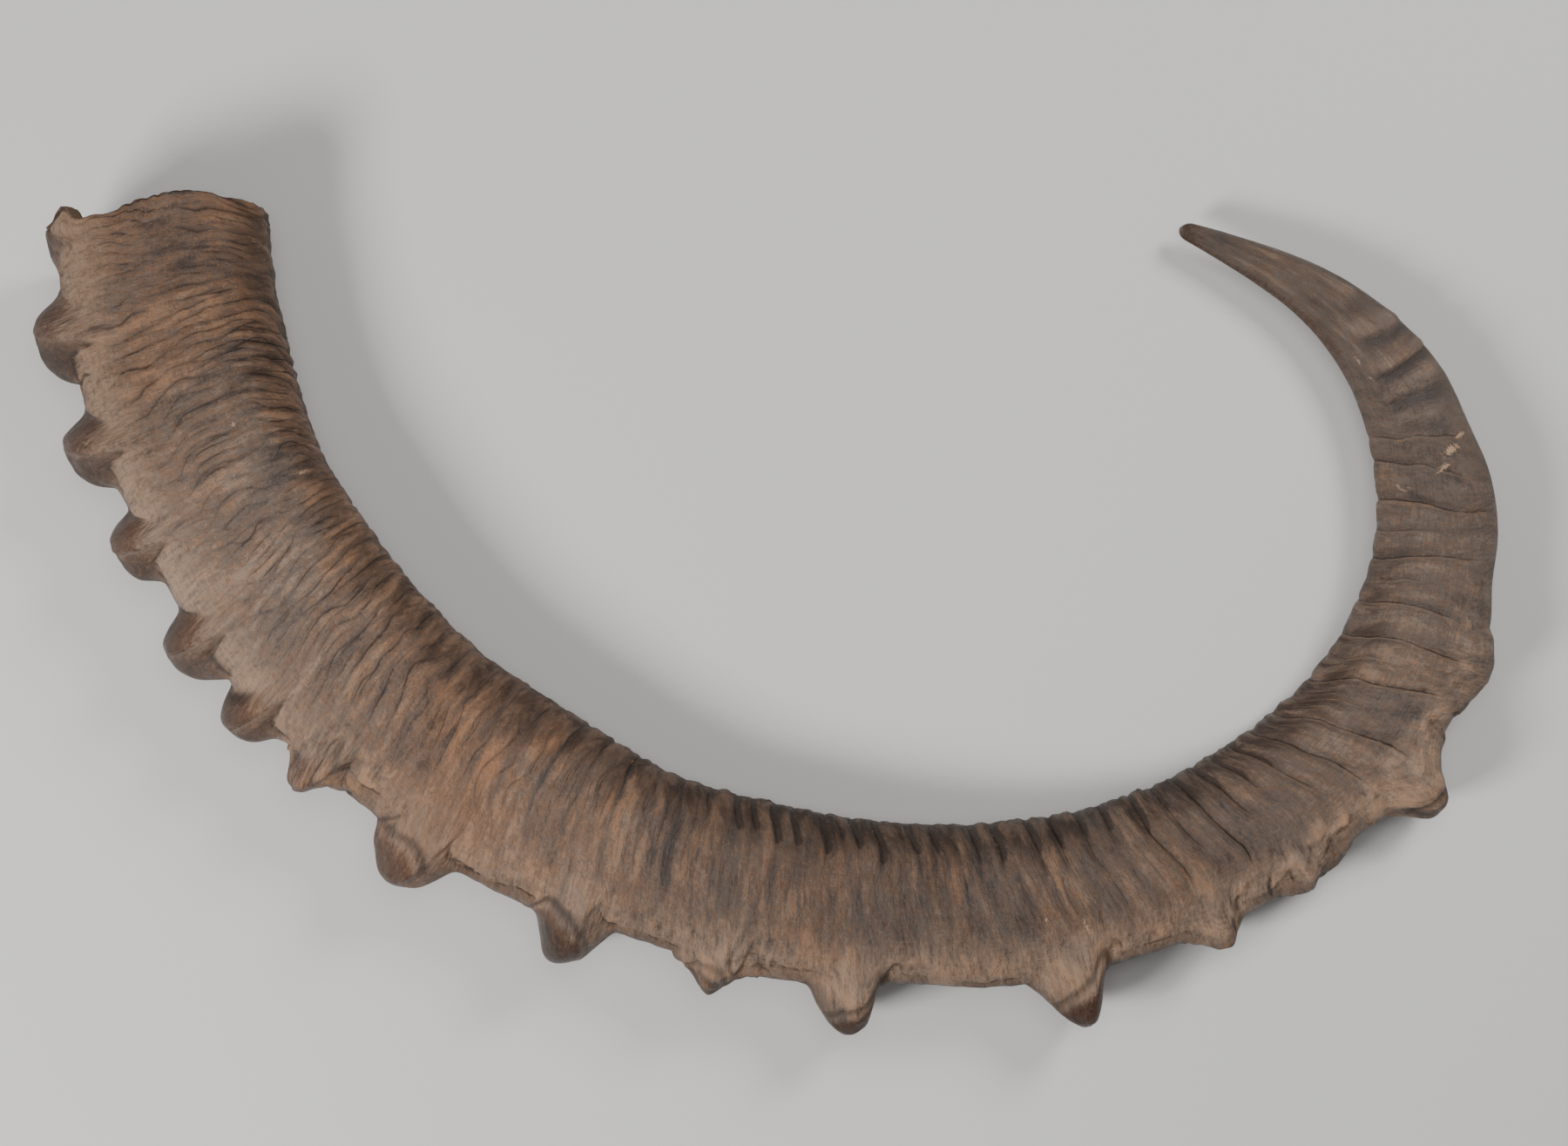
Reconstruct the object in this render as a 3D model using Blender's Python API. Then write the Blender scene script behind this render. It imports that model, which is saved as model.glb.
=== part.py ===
"""A mature ibex's horn sheath, lying on its side.

The horn grew as one piece, so it is one solid: a curved, tapering sheath of keratin with knobs
across its front, growth rings all the way along, a hollow where the bone core sat, and a solid
tip. All lengths are in millimetres until the mesh is made.

Places along the horn are distances from the rim, measured on its middle line. Round the horn,
angle 0 is the front, which carries the knobs and is the outside of the bend. Angle 90 is the
upper side as it lies, 180 the back, and -90 the side it lies on.
"""

import math

import bmesh
import bpy
import numpy as np

MM = 0.001
LEAST_SIZE = 1e-6  # keeps a section that has shrunk to nothing from dividing by zero

# The middle line in plan: it starts almost straight down and turns anticlockwise to the tip.
LENGTH = 856.0
FIRST_HEADING = -88.2
BEND = [  # place, degrees turned per 100 mm
    (0, 22.6),
    (130, 22.4),
    (200, 21.7),
    (280, 17.7),
    (380, 18.5),
    (430, 18.8),
    (470, 22.6),
    (500, 23.6),
    (560, 31.5),
    (600, 37.8),
    (640, 42.2),
    (680, 50.5),
    (700, 56.0),
    (725, 50.7),
    (770, 53.9),
    (790, 55.0),
    (810, 45.2),
    (835, 20.0),
    (856, 4.0),
]

# The cross-section: half its size from front to back, half its size from side to side, and how
# square it is (2 is an ellipse). The upper side is narrower and rounder towards the back.
HALF_DEPTH = [
    (0, 38.7),
    (60, 38.6),
    (95, 36.8),
    (165, 37.6),
    (220, 35.7),
    (280, 35.7),
    (318, 32.3),
    (370, 32.0),
    (450, 30.1),
    (560, 29.1),
    (640, 26.5),
    (690, 23.0),
    (740, 18.2),
    (790, 12.0),
    (856, 4.0),
]
HALF_WIDTH = [
    (0, 28.5),
    (150, 27.5),
    (300, 25.5),
    (450, 23.5),
    (600, 20.5),
    (690, 16.5),
    (760, 11.5),
    (856, 3.6),
]
SQUARENESS = [(0, 3.1), (300, 2.9), (600, 2.5), (760, 2.1), (856, 2.0)]
ROUNDER_BACK = 0.7
NARROWER_BACK = 0.12
TIP_ROUNDING = 5.0
TIP_ROWS = [1.0, 0.55, 0.25, 0.08]  # shares of the rounding, counted from the end

# How the horn lies: height of its lowest line above the surface, sunk where it is worn flat.
LIFT = [
    (0, 0.4),
    (60, -1.2),
    (150, 0.6),
    (290, -1.1),
    (390, 0.5),
    (480, 0.4),
    (580, -1.1),
    (660, 0.8),
    (760, 4.0),
    (856, 9.0),
]

# Growth lines lean: how far the front of a line is ahead of its middle, towards the tip, and how
# far its upper side is behind.
FRONT_LEAD = [(0, 8.0), (200, 6.0), (350, 3.0), (450, 5.0), (560, 9.0), (700, 7.0), (790, 2.0), (856, 0.0)]
SIDE_SLANT = [(0, 6.5), (300, 5.0), (420, 2.0), (700, 1.5), (856, 0.0)]

# Knobs: place of the crest, height, reach towards the base, reach towards the tip, lean of the
# crest towards the tip as a share of the height, bluntness of the top.
KNOBS = [
    (8, 7.5, 12, 11, 0.10, 3.0),
    (38, 15.5, 11, 15, 0.10, 3.2),
    (74, 15.0, 10, 14, 0.10, 3.4),
    (108, 13.5, 9, 15, 0.10, 3.2),
    (147, 15.5, 10, 14, 0.10, 3.6),
    (174, 14.0, 9, 13, 0.10, 3.4),
    (203, 13.5, 9, 10, 0.00, 2.4),
    (243, 19.5, 13, 17, 0.10, 2.8),
    (303, 19.0, 11, 15, 0.05, 2.8),
    (354, 13.0, 11, 12, 0.00, 2.0),
    (403, 20.5, 13, 12, 0.00, 3.2),
    (481, 21.5, 18, 11, 0.00, 2.8),
    (528, 9.0, 11, 10, 0.00, 2.2),
    (562, 5.0, 12, 16, 0.00, 1.6),
    (609, 16.0, 13, 15, 0.00, 3.0),
    (649, 5.5, 14, 13, 0.00, 2.6),
]
KNOB_FULL_TO = 28.0
KNOB_GONE_BY = 64.0
KNOB_FLANK_POWER = 1.25

# Growth rings: a groove every pitch, deepest at the back and shallowest at the front.
RING_PITCH = 14.0
RING_ROWS = 3
GROOVE_AT_BACK = 1.3
GROOVE_AT_FRONT = 0.3
RINGS_FULL_TO = 746.0
RINGS_GONE_BY = 796.0

# The hollow and the broken rim.
HOLLOW_LENGTH = 262.0
HOLLOW_ROWS = 11
WALL_AT_RIM = 3.2
WALL_INSIDE = 6.5
WALL_GROWS_OVER = 60.0
HOLLOW_END_SHARE = 0.30
HOLLOW_IN_KNOB = 0.6  # share of the first knob's height that the mouth opens into
RIM_BEVEL = 1.2
RIM_CHIPS = [(5, 0.7, 0.4), (9, 0.6, 2.1), (14, 0.5, 4.0)]  # waves round the rim, height, phase
BREAK_FADE = 12.0
LOBE_HEIGHT = 6.5
LOBE_FULL_TO = 8.0
LOBE_GONE_BY = 50.0
SHARD_HEIGHT = 4.8
SHARD_ANGLE = 36.0
SHARD_HALF_ANGLE = 9.5
WORN_DEPTH = 3.6
WORN_FULL_FROM = 172.0
WORN_GONE_BY = 125.0

SHARP_ANGLE = 50.0
COLOUR = (0.27, 0.21, 0.165, 1.0)
ROUGHNESS = 0.55

ANGLES = [0, 10, 19, 27, 36, 48, 66, 90, 112, 132, 150, 166, 180]

PATH_STEP = 1.0
PATH_MARGIN = 30.0


def smooth(stations, at):
    """Values at the places given, on a smooth curve through the stations."""
    place, value = np.array(stations, float).T
    slope = np.gradient(value, place)
    first = np.clip(np.searchsorted(place, at, side="right") - 1, 0, len(place) - 2)
    gap = place[first + 1] - place[first]
    share = np.clip((at - place[first]) / gap, 0.0, 1.0)
    rest = 1.0 - share
    ends = value[first] * rest**2 * (1 + 2 * share) + value[first + 1] * share**2 * (1 + 2 * rest)
    return ends + gap * share * rest * (slope[first] * rest - slope[first + 1] * share)


def fade(value, full, gone):
    """1 up to full, 0 from gone, with a smooth step between."""
    share = np.clip((value - full) / (gone - full), 0.0, 1.0)
    return 1.0 - share**2 * (3 - 2 * share)


def middle_line():
    """Places, headings in radians and plan positions along the middle line."""
    place = np.arange(-PATH_MARGIN, LENGTH + PATH_MARGIN, PATH_STEP)
    turn = np.interp(place, *np.array(BEND, float).T) / 100.0
    turn[place < 0] = 0.0
    heading = np.radians(FIRST_HEADING + np.cumsum(turn) * PATH_STEP)
    x = np.cumsum(np.cos(heading)) * PATH_STEP
    y = np.cumsum(np.sin(heading)) * PATH_STEP
    return place, heading, x, y


PATH = middle_line()


def frame_at(place):
    """Plan position, forward direction and outward direction at a place."""
    along, heading, x, y = PATH
    turned = np.interp(place, along, heading)
    position = np.stack([np.interp(place, along, x), np.interp(place, along, y)], -1)
    forward = np.stack([np.cos(turned), np.sin(turned)], -1)
    outward = np.stack([np.sin(turned), -np.cos(turned)], -1)
    return position, forward, outward


def tip_share(place):
    """How much of its size the section keeps as the tip rounds off."""
    past = np.clip((place - (LENGTH - TIP_ROUNDING)) / TIP_ROUNDING, 0.0, 1.0)
    return np.sqrt(1.0 - past**2)


def section_radius(place, angle, wall=0.0):
    """Distance from the middle line to the skin, or to a surface one wall further in."""
    depth = smooth(HALF_DEPTH, place) * tip_share(place) - wall
    back = 0.5 - 0.5 * np.cos(angle)
    narrowed = 1.0 - NARROWER_BACK * back * (np.sin(angle) > 0)
    width = smooth(HALF_WIDTH, place) * tip_share(place) * narrowed - wall
    power = smooth(SQUARENESS, place) - ROUNDER_BACK * back * (np.sin(angle) > 0)
    ahead = np.abs(np.cos(angle) / np.maximum(depth, LEAST_SIZE)) ** power
    aside = np.abs(np.sin(angle) / np.maximum(width, LEAST_SIZE)) ** power
    return (ahead + aside) ** (-1.0 / power)


def growth_shift(place, angle):
    """How far a growth line is ahead of its own middle at an angle round the horn."""
    lead = smooth(FRONT_LEAD, place) * np.cos(angle)
    slant = smooth(SIDE_SLANT, place) * np.sin(angle)
    return lead - slant


def knob_height(place, angle):
    """Height of the knobs in front, and how far their crests lean towards the tip."""
    round_front = fade(np.abs(np.degrees(angle)), KNOB_FULL_TO, KNOB_GONE_BY)
    height = np.zeros(np.broadcast(place, angle).shape)
    lean = np.zeros_like(height)
    for crest, high, to_base, to_tip, lean_share, bluntness in KNOBS:
        past = place - (crest - smooth(FRONT_LEAD, crest))
        away = np.where(past < 0, -past / to_base, past / to_tip)
        bump = high * np.clip(1 - away**bluntness, 0.0, 1.0) ** KNOB_FLANK_POWER
        bump = bump * round_front
        lean = np.where(bump > height, lean_share * bump, lean)
        height = np.maximum(height, bump)
    return height, lean


def groove_depth(place, angle):
    """Depth of the growth rings' grooves, which are on every ring's first row."""
    past = np.mod(place, RING_PITCH) / RING_PITCH
    groove = np.clip(1 - RING_ROWS * np.minimum(past, 1 - past), 0.0, 1.0)
    depth = GROOVE_AT_FRONT + (GROOVE_AT_BACK - GROOVE_AT_FRONT) * (0.5 - 0.5 * np.cos(angle))
    size = smooth(HALF_WIDTH, place) / HALF_WIDTH[0][1]
    return groove * depth * np.sqrt(size) * fade(place, RINGS_FULL_TO, RINGS_GONE_BY)


def rim_break(angle):
    """How far the broken rim stands out past its growth line."""
    turned = np.degrees(angle)
    ragged = sum(high * np.sin(waves * angle + phase) for waves, high, phase in RIM_CHIPS)
    lobe = LOBE_HEIGHT * fade(np.abs(turned), LOBE_FULL_TO, LOBE_GONE_BY)
    shard = SHARD_HEIGHT * np.clip(1 - np.abs(turned - SHARD_ANGLE) / SHARD_HALF_ANGLE, 0.0, 1.0)
    worn = WORN_DEPTH * fade(-np.abs(turned), -WORN_FULL_FROM, -WORN_GONE_BY)
    return ragged + lobe + shard - worn


def skin(row, angle):
    """Points of the outer skin at growth rows and angles round the horn."""
    place = row + growth_shift(row, angle)
    place = place - rim_break(angle) * fade(row, 0.0, BREAK_FADE)
    height, lean = knob_height(row, angle)
    radius = section_radius(row, angle) - groove_depth(row, angle)
    position, forward, outward = frame_at(place)
    across = radius * np.cos(angle) + height
    plan = position + outward * across[..., None] + forward * lean[..., None]
    middle_height = smooth(HALF_WIDTH, row) * tip_share(row) + smooth(LIFT, row)
    up = middle_height + radius * np.sin(angle)
    return np.concatenate([plan, np.maximum(up, 0.0)[..., None]], -1)


def hollow(row, angle):
    """Points of the hollow's wall at growth rows and angles round the horn."""
    place = row + growth_shift(row, angle)
    place = place - rim_break(angle) * fade(row, 0.0, BREAK_FADE)
    wall = WALL_INSIDE + (WALL_AT_RIM - WALL_INSIDE) * fade(row, 0.0, WALL_GROWS_OVER)
    narrowing = np.sqrt(1 - (1 - HOLLOW_END_SHARE**2) * (row / HOLLOW_LENGTH) ** 2)
    radius = section_radius(row, angle, wall) * narrowing
    opened = HOLLOW_IN_KNOB * knob_height(row, angle)[0] * fade(row, 0.0, BREAK_FADE)
    position, _, outward = frame_at(place)
    plan = position + outward * (radius * np.cos(angle) + opened)[..., None]
    middle_height = smooth(HALF_WIDTH, row) + smooth(LIFT, row)
    return np.concatenate([plan, (middle_height + radius * np.sin(angle))[..., None]], -1)


def ring_angles():
    """Angles round the horn in radians, closer together on the front."""
    mirrored = [-angle for angle in reversed(ANGLES[1:-1])]
    return np.radians(ANGLES + mirrored)


def growth_rows():
    """Rows from the rim to the tip, with one on the crest of every knob."""
    rows = np.arange(0.0, LENGTH - TIP_ROUNDING, RING_PITCH / RING_ROWS)
    for crest, *_ in KNOBS[1:]:
        middle = crest - smooth(FRONT_LEAD, crest)
        rows[np.argmin(np.abs(rows - middle))] = middle
    tip = LENGTH - TIP_ROUNDING * np.array(TIP_ROWS)
    return np.concatenate([rows, tip])


def add_ring(mesh, points):
    return [mesh.verts.new(point * MM) for point in points]


def bridge(mesh, first, second):
    """Four-sided faces between two rings of as many points."""
    for i in range(len(first)):
        j = (i + 1) % len(first)
        mesh.faces.new((first[i], first[j], second[j], second[i]))


def close_end(mesh, ring, point):
    end = mesh.verts.new(point * MM)
    for i in range(len(ring)):
        mesh.faces.new((ring[i], ring[(i + 1) % len(ring)], end))


def horn_points():
    """Rings of the skin from the rim to the tip, and of the hollow from its end to the rim."""
    angle = ring_angles()
    outer = [skin(np.full(angle.shape, row), angle) for row in growth_rows()]
    inner_rows = np.linspace(HOLLOW_LENGTH, RIM_BEVEL, HOLLOW_ROWS)
    inner = [hollow(np.full(angle.shape, row), angle) for row in inner_rows]
    tip = skin(np.array([LENGTH]), np.array([0.0]))[0]
    return outer, inner, tip


def build_horn():
    outer, inner, tip = horn_points()
    everything = np.concatenate(outer + [tip[None]])
    low = everything.min(axis=0)
    high = everything.max(axis=0)
    origin = np.array([(low[0] + high[0]) / 2, (low[1] + high[1]) / 2, 0.0])
    mesh = bmesh.new()
    rings = [add_ring(mesh, points - origin) for points in inner + outer]
    for first, second in zip(rings, rings[1:]):
        bridge(mesh, first, second)
    close_end(mesh, rings[-1], tip - origin)
    close_end(mesh, rings[0][::-1], inner[0].mean(axis=0) - origin)
    bmesh.ops.recalc_face_normals(mesh, faces=mesh.faces)
    data = bpy.data.meshes.new("horn")
    mesh.to_mesh(data)
    mesh.free()
    data.shade_smooth()
    data.set_sharp_from_angle(angle=math.radians(SHARP_ANGLE))
    return bpy.data.objects.new("horn", data)


def keratin():
    """Weathered grey-brown horn, half matt."""
    material = bpy.data.materials.new("horn")
    material.use_nodes = True
    shader = material.node_tree.nodes["Principled BSDF"]
    shader.inputs["Base Color"].default_value = COLOUR
    shader.inputs["Roughness"].default_value = ROUGHNESS
    shader.inputs["Metallic"].default_value = 0.0
    return material


def main():
    for old in list(bpy.data.objects):
        bpy.data.objects.remove(old)
    horn = build_horn()
    horn.data.materials.append(keratin())
    bpy.context.scene.collection.objects.link(horn)


main()
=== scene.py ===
"""Dress the ibex horn: one fine mesh with its knobs, growth lines, grooves, cracks and broken rim.

Lengths are in millimetres until the mesh is made. A place is a distance from the rim along the
horn's middle line. Round the horn, angle 0 is the front, which carries the knobs, 90 the upper side
as it lies, 180 the back and -90 the side it lies on. A row is one growth line: it has one number
all round the horn, although it runs aslant.
"""
from types import SimpleNamespace

import bpy
import numpy as np
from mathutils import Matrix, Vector


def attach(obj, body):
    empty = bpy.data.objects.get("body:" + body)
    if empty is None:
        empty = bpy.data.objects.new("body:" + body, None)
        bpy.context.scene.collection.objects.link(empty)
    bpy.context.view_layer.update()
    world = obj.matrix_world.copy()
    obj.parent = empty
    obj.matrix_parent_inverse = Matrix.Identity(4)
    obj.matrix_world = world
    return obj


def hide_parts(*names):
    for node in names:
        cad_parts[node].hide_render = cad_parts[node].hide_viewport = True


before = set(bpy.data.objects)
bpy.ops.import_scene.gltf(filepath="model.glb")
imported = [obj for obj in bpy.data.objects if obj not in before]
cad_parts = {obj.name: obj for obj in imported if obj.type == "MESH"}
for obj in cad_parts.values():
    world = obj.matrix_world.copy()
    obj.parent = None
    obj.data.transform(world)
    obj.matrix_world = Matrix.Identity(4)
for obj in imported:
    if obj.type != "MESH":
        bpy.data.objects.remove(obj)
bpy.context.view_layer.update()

MM = 0.001
LEAST_SIZE = 1e-6

# The form, as in the solid.
LENGTH = 859.0
FIRST_HEADING = -88.2
BEND_LENGTH = 100.0  # the bend is in degrees for this length
BEND = [
    (0, 22.6), (130, 22.4), (200, 21.7), (280, 17.7), (380, 18.5), (430, 18.8), (470, 22.6),
    (500, 23.6), (560, 31.5), (600, 37.8), (640, 42.2), (680, 50.5), (700, 56.0), (725, 50.7),
    (770, 53.9), (790, 55.0), (810, 44.0), (835, 14.0), (856, 2.0),
]
HALF_DEPTH = [
    (0, 38.7), (60, 38.6), (95, 36.8), (165, 37.6), (220, 35.7), (280, 35.7), (318, 32.3),
    (370, 32.0), (450, 30.1), (560, 29.1), (640, 26.5), (690, 23.0), (740, 18.2), (790, 12.0),
    (856, 4.0),
]
HALF_WIDTH = [
    (0, 28.5), (150, 27.5), (300, 25.5), (450, 23.5), (600, 20.5), (690, 16.5), (760, 11.5),
    (856, 3.6),
]
SQUARENESS = [(0, 3.1), (300, 2.9), (600, 2.5), (760, 2.1), (856, 2.0)]
ROUNDER_BACK = 0.7
NARROWER_BACK = 0.12
TIP_ROUNDING = 4.0
LIFT = [
    (0, 0.4), (60, -1.2), (150, 0.6), (290, -1.1), (390, 0.5), (480, 0.4), (580, -1.1), (660, 0.8),
    (760, 4.0), (856, 9.0),
]
FRONT_LEAD = [
    (0, 8.0), (200, 6.0), (350, 3.0), (450, 5.0), (560, 9.0), (700, 7.0), (790, 2.0), (856, 0.0),
]
SIDE_SLANT = [(0, 6.5), (300, 5.0), (420, 2.0), (700, 1.5), (856, 0.0)]
MIDDLE_OF_BOX = np.array([230.198, -180.526])

ROOM_ABOVE = 0.3  # the skin's relief stays within the solid's height
# How much smaller the dressed horn is at the back, and the angles over which that sets in.
INSET_ANGLES = (110, 170)
BACK_INSET = [
    (0, 1.0), (60, 0.4), (90, 0.3), (120, 0.5), (210, 0.3), (250, 0.0), (270, 0.3), (420, 0.4),
    (450, 0.2), (480, 0.7), (540, 0.5), (580, -0.3), (660, 0.0), (700, -0.6), (760, -0.5),
    (856, 0.0),
]
# Distances between the creases of wide and close folds.
WIDE_FOLD = 6.6
CLOSE_FOLD = 3.7

# How far the growth lines hook towards the tip at the back, and at the front.
BACK_HOOK = [
    (0, 3.0), (75, 4.0), (130, 0.0), (175, -3.0), (250, 0.0), (300, 0.0), (320, -3.0), (400, -6.0),
    (440, -4.0), (490, -2.0), (525, -2.0), (550, -4.0), (590, -9.0), (640, -9.0), (660, -4.0),
    (690, -2.0), (715, 4.0), (750, 6.0), (790, 3.0), (856, 0.0),
]
FRONT_HOOK = [
    (0, -3.0), (75, -6.0), (130, -6.0), (180, -1.0), (220, -4.0), (250, -3.0), (300, 0.0),
    (370, 0.0), (480, -3.0), (520, -8.0), (550, -10.0), (600, -7.0), (632, -2.0), (650, -12.0),
    (690, -12.0), (705, -19.0), (722, -16.0), (742, -9.5), (757, -5.5), (768, -9.0), (790, -3.0),
    (856, 0.0),
]
FRONT_HOOK_GONE = [(0, 104), (600, 104), (680, 140), (856, 140)]
HOOK_FROM = 135.0
HOOK_FULL = 176.0
HOOK_FULL_ROW = 36.0
FRONT_HOOK_FULL = 18.0

# The floor between the knobs: how far it stands out past the plain section.
VALLEY = [
    (0, 1.0), (216, 1.0), (274, 0.8), (325, -0.2), (376, 1.2), (422, -1.0), (450, 1.8), (505, 0.5),
    (546, 0.2), (588, -0.8), (632, -0.6), (668, 0.0), (678, -1.6), (695, 0.0), (715, 0.2), (730, -1.2),
    (750, 0.0), (772, 0.1), (790, -0.4), (856, -1.0),
]

# Knobs: the outline of each as places and heights, then where its nose ends as a share of its
# length, how far round the keel's edge lies behind the nose, how much the nose shines, how lumpy the
# knob is, how dark the painted shade on the lobe behind the nose is, and a ball-shaped nose's place,
# half length and reach in degrees.
KNOBS = [
    ([(-14, 5.4), (-2, 5.6), (4, 5.9), (8, 5.5), (11, 4.6), (13.5, 3.0), (16, 0.8)],
     0.46, 25, 0.2, 0.2, 0.9, None),
    ([(18, 0.8), (22, 3.0), (24, 5.4), (26, 9.0), (28, 12.0), (31, 13.6), (36, 14.3),
      (42, 13.9), (46, 11.4), (50, 6.6), (52, 2.0), (54, 0.5)], 0.45, 25, 0.5, 0.3, 1.0, None),
    ([(58, 1.2), (62, 3.8), (64, 8.2), (66, 12.2), (70, 14.4), (75, 14.8), (80, 13.2),
      (84, 9.6), (88, 2.5), (90, 1.0)], 0.44, 25, 0.7, 0.2, 1.0, None),
    ([(94, 1.0), (97, 2.6), (99, 8.3), (101, 11.6), (104, 13.2), (108, 13.8), (114, 12.6),
      (118, 9.8), (122, 3.8), (125, 1.0)], 0.42, 25, 0.8, 0.3, 1.0, None),
    ([(130, 1.2), (134, 3.3), (136, 8.8), (138, 12.6), (142, 15.0), (150, 14.8), (154, 11.6),
      (158, 6.4), (161, 2.0)], 0.42, 26, 1.0, 0.2, 0.9, None),
    ([(163, 1.2), (165.5, 7.8), (168, 12.0), (174, 13.8), (177, 13.7), (182, 10.4), (186, 3.6),
      (189, 1.5)], 0.40, 26, 1.0, 0.2, 0.9, None),
    ([(191, 2.2), (194, 5.4), (198, 11.4), (202, 12.9), (204, 11.8), (206, 8.0), (210, 3.6),
      (216, 0.8)], 0.45, 30, 0.5, 0.8, 0.5, None),
    ([(226, 1.0), (229, 3.6), (230, 6.8), (234, 12.8), (238, 17.6), (242, 19.2), (248, 17.8),
      (252, 15.0), (256, 9.0), (260, 2.7), (263, 1.0)], 0.50, 30, 0.9, 0.3, 0.15, (239, 9.5, 30)),
    ([(286, 1.0), (291, 2.8), (294, 8.4), (298, 15.9), (302, 18.1), (305, 17.2), (308, 15.5),
      (310, 14.0), (314, 7.3), (318, 0.8)], 0.66, 30, 1.3, 0.1, 0.15, (300, 10.5, 34)),
    ([(340, 2.2), (346, 5.4), (350, 10.2), (353, 11.8), (356, 10.9), (360, 7.1), (364, 3.2),
      (370, 1.6)], 0.62, 30, 0.5, 0.9, 0.4, (351, 6.5, 26)),
    ([(384, 1.0), (387, 2.6), (390, 8.4), (395, 16.2), (401, 19.6), (405, 18.1), (407, 15.8),
      (408.5, 10.8), (410.5, 2.9), (413, 0.0)], 0.80, 34, 0.8, 0.5, 0.1, (402, 8.0, 27)),
    ([(461, 2.0), (464, 5.2), (468, 11.0), (473, 18.3), (478, 22.2), (482, 20.6), (484.5, 15.0),
      (487, 7.0), (490, 1.5)], 0.82, 34, 0.85, 0.3, 0.1, (479, 8.5, 33)),
    ([(517, 1.2), (522, 4.4), (526, 7.9), (529, 9.0), (532, 8.5), (535, 5.0), (539, 1.5)],
     0.70, 30, 0.6, 0.8, 0.4, (530, 5.0, 18)),
    ([(552, 0.8), (557, 3.1), (562, 5.3), (566, 3.2), (574, 2.5), (582, 0.3)],
     0.60, 30, 0.4, 0.8, 0.3, (562, 4.0, 16)),
    ([(590, 0.0), (596, 2.4), (600, 7.4), (603, 12.9), (608, 15.8), (613, 14.2), (617, 7.4),
      (622, 3.0), (628, 0.8)], 0.95, 30, 0.3, 0.6, 0.3, (608, 7.0, 17)),
    ([(635, 0.8), (640, 3.0), (646, 5.0), (655, 5.4), (659, 4.2), (664, 1.2)],
     0.80, 30, 0.1, 0.4, 0.2, None),
]
# How far a knob's ridges run tipward between two angles.
KNOB_SLANT = [
    (0, 6.5), (216, 6.5), (236, 8.0), (262, 7.0), (284, 1.0), (318, 1.0), (345, 5.0), (385, 8.0),
    (490, 8.0), (530, 5.0), (856, 4.0),
]
SLANT_FROM = 14.0
SLANT_TO = 44.0
NOSE_REACH = 56.0
NOSE_ROUNDNESS = 2.4
NOSE_TAPER = 0.55  # how much of the nose's length is gone at its inner end
FOOT_DEPTH = 0.8
NARROW_FROM = 330.0  # from this place on, knobs narrow away from the outline
BALL_GROOVE = 0.9
ARC_PITCH = 3.4
LOBE_ROUNDNESS = 1.6
DOME_POWER = 0.8
TURN_IN_ANGLE = 46.0  # where the crease behind the nose meets the keel's edge
TURN_IN_LENGTH = 9.0
NOSE_SWELL = 1.6
LOBE_SWELL = 1.8
CREASE_DEPTH = 1.6
HANG_DEPTH = 1.3
UNDER_FULL_TO = 26.0
UNDER_GONE_BY = 62.0
LEAN_SHARE = 0.06

# Steps where a growth ring ends, round from the back: row, angle they reach, depth.
RINGS = [
    (57, 122, 1.0), (62, 112, 1.1), (68, 104, 1.2), (74, 116, 1.0), (82, 112, 0.6), (91, 122, 0.5),
    (101, 122, 0.7), (109, 118, 0.7), (117, 128, 0.6), (128, 122, 0.6), (139, 114, 0.7),
    (152, 116, 0.8), (161, 124, 0.6), (171, 112, 0.9), (180, 118, 1.0), (190, 122, 0.7),
    (203, 116, 0.6), (212, 130, 0.6), (224, 118, 1.0), (238, 124, 0.7), (251, 108, 1.1),
    (264, 122, 0.7), (279, 112, 1.1), (292, 112, 1.1), (306, 108, 1.3), (319, 124, 0.8),
    (331, 120, 0.7), (343, 122, 0.8), (355, 118, 1.0), (362, 122, 1.0), (371, 114, 1.0),
    (380, 118, 1.1), (392, 112, 1.2), (405, 116, 1.2), (414, 112, 1.2), (428, 120, 0.9),
    (437, 118, 1.0), (453, 114, 1.3), (462, 108, 1.2), (478, 104, 1.4), (488, 96, 1.3),
    (500, 60, 1.0), (511, 122, 0.9), (525, 60, 1.2), (537, 84, 0.9), (549, 52, 1.3), (561, 98, 1.0),
    (572, 118, 0.9), (584, 84, 0.9), (597, 56, 1.3), (612, 47, 1.3), (623, 112, 0.6),
    (634, 40, 1.2), (645, 122, 0.5), (655, 37, 1.3), (671, 62, 0.9), (681, 110, 0.5),
    (690, 40, 1.0), (701, 96, 0.5), (712, 26, 1.1), (727, 45, 0.9), (738, 39, 0.8),
]
RING_FADE = 30.0
BEYOND_RINGS = 20.0

# Oblique flutes where the tip begins: row, first and last angle, depth, half width.
FLUTES = [
    (741, 40, 150, 1.0, 2.4), (751, 12, 158, 1.9, 2.2), (762, 2, 148, 2.2, 2.2),
    (777, 0, 128, 2.0, 2.2), (789, 18, 100, 1.2, 2.2),
]

# The cracked front edge: its angle at places along the horn, then first and last place and depth
# of each crack on it.
EDGE_ANGLE = [
    (200, 38), (226, 36), (262, 30), (300, 30), (340, 30), (372, 34), (415, 30), (500, 30),
    (550, 33), (600, 42), (700, 42),
]
EDGE_CRACKS = [
    (206, 230, 0.7), (252, 292, 0.9), (314, 344, 0.9), (360, 390, 0.8), (410, 432, 0.6),
    (436, 462, 0.8), (492, 524, 0.6), (540, 562, 1.0), (568, 592, 0.7),
]
# Short cracks across: row, first and last angle, depth.
CROSS_CRACKS = [
    (3, 2, 46, 1.1), (53, 2, 40, 0.9), (536, 22, 44, 0.9), (553, 20, 50, 1.0), (561, 26, 46, 0.8),
    (624, 20, 46, 0.6), (360, 24, 48, 0.7), (205, 20, 56, 0.7),
]

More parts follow.
